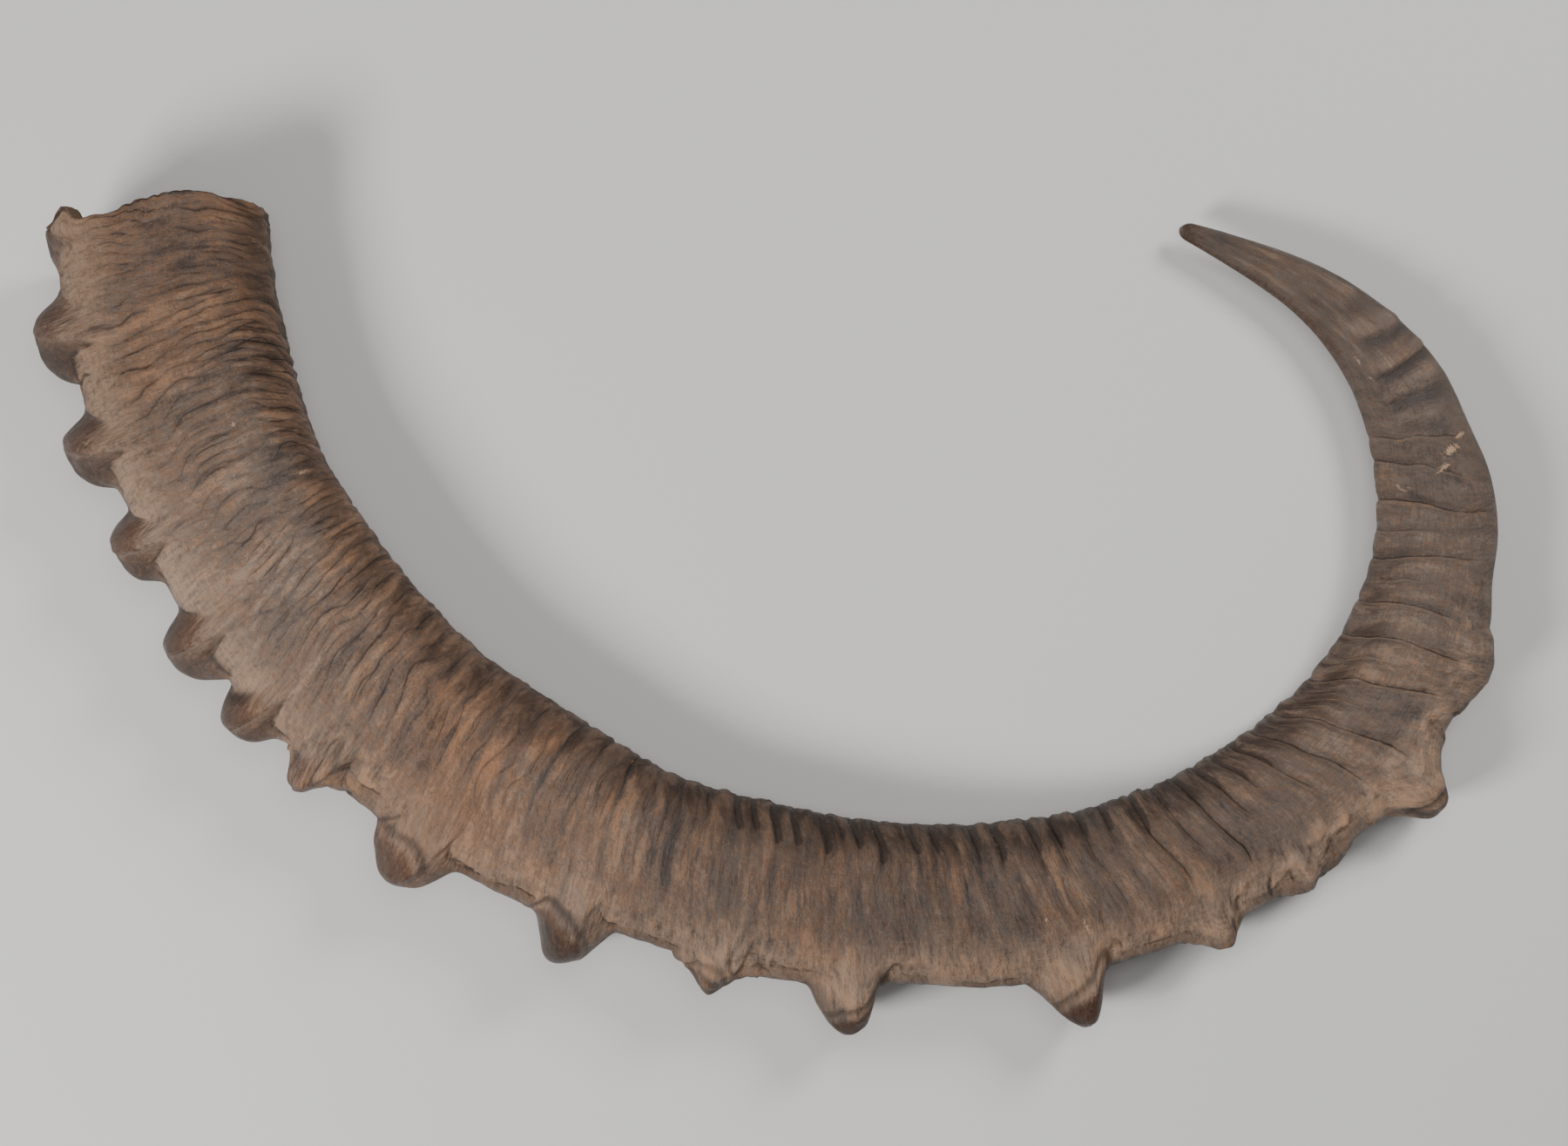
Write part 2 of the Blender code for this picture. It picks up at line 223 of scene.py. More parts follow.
# Orange patches: row, angle, half length along the horn, half width round it, strength.
OCHRE = [
    (248, 103, 14, 16, 1.0), (225, 128, 9, 11, 0.7), (208, 136, 8, 10, 0.6), (177, 127, 8, 9, 0.5),
    (166, 130, 8, 8, 0.5), (39, 148, 12, 6, 0.9), (276, 146, 12, 10, 0.5), (256, 165, 10, 9, 0.5),
    (386, 50, 12, 10, 0.5), (396, 113, 10, 16, 0.4), (12, 133, 14, 8, 0.7), (4, 110, 4, 50, 0.5),
    (294, 95, 12, 22, 0.5), (440, 118, 12, 20, 0.3),
]
# How light the skin is along the horn.
LIGHTNESS = [
    (0, 0.79), (60, 0.81), (105, 1.02), (160, 1.04), (220, 1.01), (290, 0.98), (340, 0.76),
    (420, 0.63), (480, 0.68), (560, 0.75), (620, 0.88), (700, 0.80), (760, 0.74), (856, 0.58),
]

# How warm brown rather than grey it is along the horn.
WARMTH = [
    (0, 0.75), (60, 0.62), (100, 0.35), (150, 0.25), (190, 0.40), (240, 0.80), (300, 0.50),
    (420, 0.50), (560, 0.35), (640, 0.20), (856, 0.30),
]

# How blue-grey the hollows between rings are along the horn, partly as painted shade.
SLATE_ALONG = [
    (0, 0.10), (190, 0.20), (230, 0.75), (330, 0.75), (370, 0.45), (480, 0.35), (640, 0.35),
    (700, 0.65), (740, 0.50), (770, 0.0), (856, 0.0),
]

# Pale chips: row, angle, half length along the horn, half width round it, strength.
CHIPS = [
    (723, 63, 2.0, 15, 1.0), (719, 80, 1.2, 18, 0.9), (718, 146, 1.2, 14, 0.7),
    (725, 41, 1.2, 8, 0.9), (773, 146, 3.5, 4, 0.7), (764, 144, 2.5, 4, 0.6),
    (94, 119, 1.5, 3, 0.9), (122, 150, 1.0, 8, 0.8), (471, 72, 0.8, 7, 0.7), (483, 62, 0.8, 10, 0.8),
]

# The hollow and the broken rim.
HOLLOW_LENGTH = 262.0
WALL_AT_RIM = 3.2
WALL_INSIDE = 6.5
WALL_GROWS_OVER = 60.0
HOLLOW_END_SHARE = 0.30
HOLLOW_IN_KNOB = 0.6
BREAK_FADE = 12.0
RIM_FORWARD = [
    (-180, -3.5), (-120, -1.0), (-60, 0), (-20, 4.0), (0, 6.4), (12, 5.8), (24, 4.0), (30, 4.8),
    (34, 7.0), (37, 8.6), (39.5, 7.0), (42, 2.6), (45, 1.4), (60, 1.5), (100, 1.5), (122, 0.2),
    (150, -3.0), (180, -3.5),
]
RIM_RADIUS = 34.0
RIM_CHIPS = [(9.0, 61, 0.70), (2.6, 62, 0.63)]  # length, seed, size
CHIP_OFFSET = 1.0
RIM_STEPS = [(-0.35, 0.9), (-0.45, 2.0), (0.1, 2.9)]  # towards the tip, into the wall
MOST_INTO_WALL = 0.92
RIDGE_HEIGHT, RIDGE_LENGTH, RIDGES_AROUND, RIDGE_SEED = 0.35, 30.0, 9.0, 71
RIDGES_FROM = 8.0

PATH_STEP = 1.0
PATH_MARGIN = 30.0

# The skin's mesh: angles and rows as first, last and step, then shares of the tip's rounding.
ANGLE_STEPS = [(0.0, 60.0, 1.9), (60.0, 180.0, 3.0), (180.0, 312.0, 6.0), (312.0, 360.0, 3.0)]
ROW_STEPS = [(0.0, 560.0, 0.9), (560.0, 803.0, 1.3), (803.0, LENGTH - TIP_ROUNDING, 2.2)]
TIP_SHARES = (1.0, 0.8, 0.6, 0.42, 0.26, 0.13, 0.04)
HOLLOW_ROWS = [(HOLLOW_LENGTH, 30.0, 26), (27.0, 0.9, 14)]  # first, last and how many
INSIDE_GRAIN_RADIUS = 20.0
GRAIN_UNIT = 10.0

# The lattice of random numbers under the noise.
SEED_STEP, SEED_START = 97531, 12345
AXIS_FACTORS = (374761393, 668265263, 2246822519)
SCRAMBLES = ((13, 1274126177), (15, 2654435761))  # bits to shift, factor
LAST_SHIFT = 16

# Noise on the skin, in layers: length along the horn, length round it, seed, size.
NOISES = {
    "knob flank": [(9, 12, 32, 1.5)],
    "knob place": [(14, 9, 31, 0.5)],
    "lumpy knob": [(4.5, 4.5, 21, 1.1), (2.5, 2.5, 22, 0.6)],
    "ring": [(24, 16, 41, 1.1), (6, 7, 42, 0.4)],
    "wedge": [(13, 60, 43, 15.0)],
    "edge crack": [(13, 30, 51, 4.5), (5, 12, 52, 1.3)],
    "cross crack": [(16, 5, 53, 2.0)],
    "lenses": [(3.4, 11, 3, 1.0)],
    "lumps": [(5.5, 6, 8, 0.30)],
    "streaks": [(2.6, 18, 5, 0.22), (1.9, 11, 6, 0.16)],
    "broad": [(11, 30, 2, 0.40)],
    "front": [(2.4, 16, 9, 0.22), (4.5, 4.5, 10, 0.15)],
    "torn edge": [(5, 6, 11, 0.55), (2.6, 3, 12, 0.35)],
    "tip": [(16, 5, 13, 0.16), (9, 9, 14, 0.10)],
    "shade": [(12, 10, 121, 3.0)],
    "back": [(7, 12, 122, 6.0)],
}

# In the rest, two numbers for rise are gone and full, two for fade are full and gone, and four for
# window are gone, full, still full and gone again. Angles are in degrees.

# Folds on the side: distance between creases and seed; how their count wavers, as pitches along,
# length round and size; and their patches, as lengths along and round, seed and cover.
FOLDS = {"wide": (WIDE_FOLD, 81), "close": (CLOSE_FOLD, 91), "long": (8.5, 101), "back": (5.2, 111)}
FOLD_WAVES = [(4.5, 18, 0.90), (1.8, 9, 0.35)]
FOLD_SHARPNESS = 0.8  # a power: the creases are sharper the smaller it is
FOLD_MEAN, LONG_FOLD_MEAN = 0.62, 0.60
PATCHES = {"wide": (26, 17, 85, 0.55), "close": (20, 14, 95, 0.45), "back": (22, 20, 115, 0.60)}
PATCH_CONTRAST = 1.1
WIDE_HEIGHT, CLOSE_HEIGHT, BACK_FOLD_HEIGHT = 0.60, 0.46, 0.50
LENS_LEVEL, LENS_DEPTH = 0.15, 0.50
# How much of each form there is on the base, on the body and between the rings.
RELIEF = {
    "waves": (1.0, 0.3, 0.0), "lenses": (-0.34, -0.22, 0.0), "lumps": (0.5, 0.25, 0.5),
    "streaks": (0.0, 1.0, 0.35), "long folds": (0.0, 0.30, 0.2),
}
BASE_ENDS, BODY_ENDS, RINGS_END = (200, 310), (470, 560), (700, 775)
SIDE_ANGLES, TO_BACK_ANGLES, BACK_ANGLES = (38, 60), (55, 105), (112, 150)
FRONT_CALMS = (50, 90)
FRONT_RELIEF = 0.45
WIDE_ON_BODY, WIDE_FRONT = 0.4, 0.25
CLOSE_ON_BASE, CLOSE_ON_BODY, CLOSE_FRONT = 0.8, 0.6, 0.3
BACK_FOLDS_END = (600, 680)
BACK_FOLD_LEAST = 0.4
TORN_ANGLE, TORN_WIDTH, TORN_ENDS = 44, 16, (650, 700)
TIP_STARTS = (745, 790)
CALM_HEIGHT, CALM_SHARE = 6.0, 0.4  # wrinkles are weaker on the knobs

# The knobs' shapes.
MOST_SLANT = 1.4
TAPER_POWER, BALL_TAPER = 1.3, 0.3
FULL_KNOB = 14.0  # the height from which a knob has its full creases and swellings
NARROW_SHIFT = 1.0
LOBE_STARTS = (-1.0, 4.0)
NOSE_WINDOW, CREASE_WINDOW = (5, 18, 40, 56), (6, 14, 40, 50)
GROOVE_OFFSET = 1.2
CREASE_BEFORE, CREASE_AFTER = 1.8, 2.4
HANG_WIDTH, HANG_ANGLES = 4.0, (4, 12)
SWELL_AT, SWELL_WIDTH = 0.55, 0.34
LOBE_MIDDLE, LOBE_HALF = 15.0, 13.0
FOOT_WIDTH, FOOT_ANGLES, FOOT_STRENGTH = 1.1, (28, 46), 1.3
FOOTLESS_FROM = 260.0
# Dark lines of painted shade under the keel's edge, at the noses' feet, in the creases behind the noses
# and round the balls.
EDGE_SHADE_LINE, EDGE_LINE_IN, EDGE_LINE_WIDTH, EDGE_LINE_ANGLES = 0.8, 1.0, 1.8, (6, 16)
CREASE_SHADE_LINE, BALL_GROOVE_SHADE = 0.42, 0.75
NOSE_ENDS, NOSE_COLOUR_ANGLES, NOSE_CUT = (-1.0, 2.0), (20, 52), 1.15
BALL_FROM = 6.0
BALL_EDGE = (0.72, 1.12)
BALL_GROOVE_WIDTH, BALL_GROOVE_ANGLES = 0.9, (6, 14)
ARCS_FROM, ARC_DEPTH, ARC_ANGLES = 0.6, 0.25, (30, 44)
# Painted shade on the lobes: the knob height that gives it in full, its least share, and the angles
# over which it lessens away from the outline.
LOBE_SHADE_FULL_HEIGHT, LOBE_SHADE_LEAST, LOBE_SHADE_ANGLES = 2.5, 0.68, (16, 36)
LUMPY_ANGLES = (46, 66)
# Painted shade where the skin turns under: its angles, the knob height that clears it, its least share,
# the more it has up to the rows given, and where it ends.
UNDER_SHADE_ANGLES, UNDER_SHADE_HEIGHT = (13, 22), 4.0
UNDER_SHADE_LEAST, UNDER_SHADE_MORE, UNDER_SHADE_DARKEST, UNDER_SHADE_ENDS = 0.3, 0.6, (190, 250), (560, 640)
KEEL_ANGLES = (20, 60)

# The rings' and flutes' shapes and shades, painted shade in the flutes and painted light on the ribs.
STEPS_GROW, STEP_SHARPNESS = (440, 620), 0.55
UNDER_REACH, REACH_TURN = 9.0, 2.3  # the rings' reach varies on the side the horn lies on
RING_BACK_EDGE = (125, 165)
CUT_BEFORE, CUT_AFTER, SHALLOWER_CUT = 1.0, 2.4, 0.55
CUT_DEPTH, CUT_MORE = 0.8, 0.4
BULGE_BASE, FLATTER_BULGE = 0.35, 0.6
BULGE_HEIGHT, BULGE_MORE = 0.40, 0.45
RING_LINE_LEAST, RING_LINE_END, RING_LINES_WEAKEN = 0.30, 0.70, (560, 640)
WEDGE_FROM, WEDGE_SOFT, WEDGE_ROWS = 128, 24, (270, 380, 560, 620)
WEDGE_DEPTH, WEDGE_DEPTH_SOFT = 0.62, 0.35
SLATE_DEPTH, SLATE_DEPTH_SOFT, SLATE_ANGLES = 0.3, 0.6, (44, 96)
FLUTE_OPENS, FLUTE_CLOSES = 24, 30
FLUTE_SHADE, FLUTE_SHADE_WIDTH = 0.45, 2.4
RIB_HEIGHT, RIB_PAST, RIB_WIDTH = 0.55, 4.4, 2.8
# How much painted light the rib beyond each flute gets, how far past the flute and over what width.
RIB_SHARE, RIB_LIGHT_PAST, RIB_LIGHT_WIDTH = 0.5, 5.6, 3.0

# The cracks' shapes.
EDGE_CRACK_SOFT = 6
EDGE_GROOVE, EDGE_GROOVE_WIDTH = 0.7, 3.0
CROSS_CRACK_OPENS, CROSS_CRACK_CLOSES, CROSS_CRACK_WIDTH = 8, 10, 0.8

# Where the skin is pale, dark, warm brown or glossy, and where light and shade are painted on it.
BAND_CLEAR = (28, 42)
NARROW_BAND, NARROW_BAND_ENDS = (18, 32, 32, 66), (250, 320)
NARROW_BAND_LEAST, NARROW_BAND_WEAKENS = 0.5, (90, 215)
WIDE_BAND, WIDE_BAND_ROWS, WIDE_BAND_SHARE = (10, 30, 34, 72), (280, 360, 560, 700), 0.7
DARK_ANGLES, DARK_LEAST, DARK_GROWS, DARK_ENDS = (118, 164), 0.6, (150, 230), (640, 740)
WARM_BACK_ENDS = (420, 560)
KEEL_SHADE, KEEL_SHADE_ANGLES = 0.25, (-60, -30, 10, 26)
# How much painted light brightens the pale band, and the rows over which it sets in.
BAND_PAINTED_LIGHT, BAND_PAINTED_LIGHT_ROWS = 0.62, (300, 380)
NOSE_SHADE, RIB_LIGHT = 0.25, 0.50
STEPPED_ROWS, SLEEK_ROWS = (500, 640), (735, 800)
HORNY_BACK, HORNY_ANGLE, HORNY_WIDTH = 0.4, 172, 16
HORNY_TIP, HORNY_TIP_ROWS = 0.5, (846, 858)

# What the material reads from the mesh, each an attribute of the skin.
MARKS = ["relief", "fold", "fold_share", "close", "close_share", "ring", "ring_gap", "ring_line",
         "edge", "edge_share", "crack", "wedge", "nose", "lobe_and_under_shade", "line", "pale_band_and_light", "dark", "warm",
         "ochre", "lightness", "stepped", "sleek", "slate_and_shade", "flute", "chip"]

# Colours: three tones, each in warm and in cool brown, and what is laid over them.
WARM = {"dark": (0.086, 0.046, 0.027, 1), "middle": (0.190, 0.102, 0.058, 1),
        "light": (0.330, 0.178, 0.098, 1)}
COOL = {"dark": (0.078, 0.061, 0.053, 1), "middle": (0.150, 0.112, 0.089, 1),
        "light": (0.262, 0.196, 0.150, 1)}
ORANGE = (0.360, 0.160, 0.072, 1)
DARK_BROWN = (0.040, 0.020, 0.011, 1)
WEDGE = (0.030, 0.016, 0.010, 1)
DARK = (0.012, 0.007, 0.005, 1)
# The pale front edge, partly painted light, and the painted highlight on the rings' lips.
PALE_AND_HIGHLIGHT_BEIGE = (0.345, 0.222, 0.142, 1)
CREAM = (0.480, 0.310, 0.190, 1)
# The blue-grey of the hollows between rings, partly painted shade, and of the painted shade in the
# flutes.
SLATE_AND_SHADE = (0.066, 0.056, 0.053, 1)
# The brown of the painted shade on the lobes and where the skin turns under.
LOBE_AND_UNDER_SHADE = (0.038, 0.021, 0.013, 1)
AMBER = (0.080, 0.031, 0.012, 1)
KNUCKLE = (0.022, 0.010, 0.006, 1)
INSIDE = (0.100, 0.060, 0.036, 1)

# Textures: repeats along the horn and round it, shift, detail, roughness, distortion.
TEXTURES = {
    "broad": (0.35, 0.35, (0, 0, 0), 3.0, 0.55, 0.0),
    "streaks": (2.6, 0.45, (0, 0, 0), 5.0, 0.60, 0.3),
    "thin": (7.0, 1.8, (3, 1, 7), 5.0, 0.62, 0.4),
    "patches": (1.6, 0.65, (11, 4, 2), 5.0, 0.62, 0.4),
    "mottle": (7.0, 5.0, (5, 9, 1), 5.0, 0.70, 0.0),
    "fibres": (1.6, 13.0, (0, 0, 0), 4.0, 0.55, 0.0),
    "speckle": (26.0, 20.0, (0, 0, 0), 3.0, 0.60, 0.0),
    "lengthwise": (0.30, 4.0, (0, 0, 0), 3.0, 0.55, 0.0),
    "hue": (6.2, 2.5, (7, 3, 5), 5.0, 0.75, 0.3),
    "soft": (6.0, 2.2, (3, 1, 7), 2.5, 0.50, 0.0),
}
# How far each texture moves the tone from dark to light, and the blotches of the pale band.
TONE = {"streaks": 0.95, "thin": 0.50, "patches": 0.75, "mottle": 0.75, "lengthwise": 1.3,
        "fibres": 1.0, "speckle": 0.55}
BLOTCH = {"mottle": 0.8, "fibres": 0.6, "thin": 1.3}
# How strongly the relief paints shade into its hollows and light onto its crests, and warms its crests.
RELIEF_SHADING, WARM_RELIEF = 0.55, 0.55
BROAD_WARMTH, HUE_WARMTH = 0.8, 3.2
HIGH_THIN = 0.8
RAGGED, SLATE_RAGGED, WEDGE_RAGGED, SPLIT_RAGGED = 1.6, 7.0, 2.0, 3.5
CHIP_MOTTLE, CHIP_SPECKLE = 1.6, 1.2
WARM_FLECKS, LEAST_FLECKS = 0.45, 0.12
# Ranges that values are spread from and over: low and high, then the results at both, which are 0
# and 1 where none are given.
RANGES = {
    "streaks on steps": (0, 1, 1.0, 0.60), "fibres on steps": (0, 1, 0.25, 0.75),
    "tone at tip": (0, 1, 1.0, 0.30), "lighter": (0.0, 0.42), "darker": (0.0, -0.42),
    "orange streaks": (0.40, 0.60), "orange crests": (-0.20, 0.25, 0.30, 1.0),
    "dark lows": (-0.40, -1.00, 0.0, 0.55), "slate streaks": (0.36, 0.60, 1.0, 0.35),
    "crease breaks": (0.44, 0.64, 1.0, 0.35), "band blotches": (-0.30, 0.25, 0.15, 0.95),
    "lobe mottle": (0.30, 0.62, 1.0, 0.78), "dark patches": (0.38, 0.60, 0.97, 0.38),
    "nose mottle": (0.36, 0.62, 1.0, 0.55), "knuckle": (0.65, 1.02),
    "nose": (0.05, 0.50, 0.0, 0.92), "fleck grains": (0.57, 0.66), "fleck patches": (0.48, 0.58),
    "dark grains": (0.42, 0.26, 0.0, 0.30), "wedge": (0.22, 0.44, 0.0, 0.90),
    "ring breaks": (0.40, 0.60, 1.0, 0.50), "split": (1.3, 0.2),
    "split breaks": (0.40, 0.56, 1.0, 0.20), "past split": (2.0, -2.0),
    "lip chips": (0.585, 0.625), "chips": (0.46, 0.70, 0.0, 0.80),
    "crack": (0.15, 0.80, 0.0, 0.75), "line": (0.15, 0.90, 0.0, 0.75),
    "roughness": (0.40, 0.62, 0.58, 0.41), "bump on even skin": (0.1, 0.6, 0.90, 0.25),
    "bump at tip": (0, 1, 1.0, 0.20),
}
# How far each stripe reaches before and after its line, in millimetres.
STRIPES = {
    "slate_and_shade": (-3.4, 4.4), "wide fold": (-0.9, 0.45), "close fold": (-0.5, 0.3),
    "wedge": (-1.6, 4.6), "step": (-0.55, 0.5), "shade": (-1.2, 3.0), "lip_highlight": (-1.9, 0.1),
}
# How much of each colour is laid over the others.
STRENGTH = {"orange": 0.90, "slate_and_shade": 0.85, "crease": 0.90, "lip_highlight": 0.50, "shade": 0.40,
            "step": 0.85, "past split": 0.45, "split": 0.80, "lip chip": 0.75}
SPECULAR = 0.37
GLOSSY_NOSE, GLOSSY_TIP, DULL_INSIDE = 0.20, 0.10, 0.20
EVEN_BAND = 0.4
SPECKLE_BUMP, MOTTLE_BUMP = 0.30, 0.80
CREASE_BUMP, STEP_BUMP, SPLIT_BUMP = 0.35, 0.50, 0.60
BUMP_DISTANCE = 0.0012  # in metres

# The studio: lengths are in metres, and in millimetres inside the camera. Each light is its name,
# place, size and power.
FLOOR_REACH = 4.0
FLOOR_COLOUR = (0.62, 0.61, 0.59, 1)
FLOOR_ROUGHNESS = 0.9
CAMERA_AT = (0.00534, 0.01676, 1.150)
SENSOR_WIDTH, LENS = 36.0, 67.88
CLIP_START = 0.01
SKY_COLOUR = (0.90, 0.92, 0.95, 1)
SKY_STRENGTH = 0.14
LIGHTS = [
    ("left", (-0.95, -0.60, 0.95), 0.45, 22.0),
    ("right", (0.85, 0.80, 1.05), 0.45, 13.0),
    ("top", (0.10, 0.25, 1.80), 0.90, 9.0),
]


def smooth(stations, at):
    """Values at the places given, on a smooth curve through the stations."""
    place, value = np.array(stations, float).T
    slope = np.gradient(value, place)
    first = np.clip(np.searchsorted(place, at, side="right") - 1, 0, len(place) - 2)
    gap = place[first + 1] - place[first]
    share = unit((at - place[first]) / gap)
    rest = 1.0 - share
    ends = value[first] * rest**2 * (1 + 2 * share) + value[first + 1] * share**2 * (1 + 2 * rest)
    return ends + gap * share * rest * (slope[first] * rest - slope[first + 1] * share)


def unit(value):
    """The value, held between 0 and 1."""
    return np.clip(value, 0.0, 1.0)


def fade(value, full, gone):
    """1 up to full, 0 from gone, with a smooth step between."""
    share = unit((value - full) / (gone - full))
    return 1.0 - share**2 * (3 - 2 * share)


def rise(value, gone, full):
    """0 up to gone, 1 from full, with a smooth step between."""
    return fade(-value, -full, -gone)


def window(value, gone, full, still_full, gone_again):
    """1 from full to still_full, 0 outside gone and gone_again."""
    return rise(value, gone, full) * fade(value, still_full, gone_again)


def bell(value, width):
    """1 at 0, falling off to both sides over the width."""
    return np.exp(-((value / width) ** 2))


def arch(share):
    """1 in the middle of a share from 0 to 1, 0 at both its ends."""
    return 4 * share * (1 - share)


def least(low, share):
    """A share from 0 to 1, spread from low to 1."""
    return low + (1 - low) * share


def dome(upper, edge, roundness):
    """Height of a knob round the horn, 1 at the front and 0 at its edge, as a share."""
    return unit(1 - (upper / edge) ** roundness) ** DOME_POWER


def middle_line():
    """Places, headings in radians and plan positions along the middle line."""
    place = np.arange(-PATH_MARGIN, LENGTH + PATH_MARGIN, PATH_STEP)
    turn = np.interp(place, *np.array(BEND, float).T) / BEND_LENGTH
    turn[place < 0] = 0.0
    heading = np.radians(FIRST_HEADING + np.cumsum(turn) * PATH_STEP)
    x, y = np.cumsum(np.cos(heading)), np.cumsum(np.sin(heading))
    return place, heading, x * PATH_STEP, y * PATH_STEP


PATH = middle_line()


def frame_at(place):
    """Plan position, forward direction and outward direction at a place."""
    along, heading, x, y = PATH
    turned = np.interp(place, along, heading)
    position = np.stack([np.interp(place, along, x), np.interp(place, along, y)], -1)
    forward = np.stack([np.cos(turned), np.sin(turned)], -1)
    outward = np.stack([np.sin(turned), -np.cos(turned)], -1)
    return position, forward, outward


def tip_share(place):
    """1 along the horn, falling to 0 over the rounded end of the tip."""
    past = unit((place - (LENGTH - TIP_ROUNDING)) / TIP_ROUNDING)
    return np.sqrt(1.0 - past**2)


def section_radius(place, angle, wall=0.0):
    """Distance from the middle line to the plain skin, or to a surface one wall further in."""
    depth = smooth(HALF_DEPTH, place) * tip_share(place) - wall
    back = 0.5 - 0.5 * np.cos(angle)
    narrowed = 1.0 - NARROWER_BACK * back * (np.sin(angle) > 0)
    width = smooth(HALF_WIDTH, place) * tip_share(place) * narrowed - wall
    power = smooth(SQUARENESS, place) - ROUNDER_BACK * back * (np.sin(angle) > 0)
    ahead = np.abs(np.cos(angle) / np.maximum(depth, LEAST_SIZE)) ** power
    aside = np.abs(np.sin(angle) / np.maximum(width, LEAST_SIZE)) ** power
    return (ahead + aside) ** (-1.0 / power)


def growth_shift(row, angle):
    """How far a row is ahead of its own middle at an angle round the horn."""
    return smooth(FRONT_LEAD, row) * np.cos(angle) - smooth(SIDE_SLANT, row) * np.sin(angle)


def at_back(turned):
    """1 at the back, 0 where the growth lines don't hook yet."""
    return rise(np.abs(turned), HOOK_FROM, HOOK_FULL)


def back_hook(row, turned):
    """How far the skin's rows follow the growth lines' hook at the back, away from the rim."""
    return smooth(BACK_HOOK, row) * at_back(turned) * rise(row, 0.0, HOOK_FULL_ROW)


def grain_row(row, angle):
    """The growth line at a point, once it hooks at the back and at the front."""
    turned = np.abs(np.degrees(angle))
    at_front = fade(turned, FRONT_HOOK_FULL, smooth(FRONT_HOOK_GONE, row))
    hooked = back_hook(row, turned) - smooth(BACK_HOOK, row) * at_back(turned)
    return row + hooked - smooth(FRONT_HOOK, row) * at_front


def lattice(x, y, z, seed):
    """A fixed random number from -1 to 1 for every whole-numbered point."""
    mixed = np.uint32(seed * SEED_STEP + SEED_START)
    for value, factor in zip((x, y, z), AXIS_FACTORS):
        mixed = mixed + value.astype(np.uint32) * np.uint32(factor)
    for shift, factor in SCRAMBLES:
        mixed = (mixed ^ (mixed >> np.uint32(shift))) * np.uint32(factor)
    mixed = mixed ^ (mixed >> np.uint32(LAST_SHIFT))
    return mixed / 2.0**31 - 1.0


def noise(x, y, z, seed):
    """Smooth noise of about -1 to 1 that changes over one unit."""
    whole = [np.floor(v).astype(np.int64) for v in (x, y, z)]
    share = [v - w for v, w in zip((x, y, z), whole)]
    share = [s**3 * (s * (s * 6 - 15) + 10) for s in share]  # no slope or bend at 0 and 1
    total = 0.0
    for corner in np.ndindex(2, 2, 2):
        weight = 1.0
        for part, beyond in zip(share, corner):
            weight = weight * (part if beyond else 1 - part)
        total = total + weight * lattice(*(w + c for w, c in zip(whole, corner)), seed)
    return total


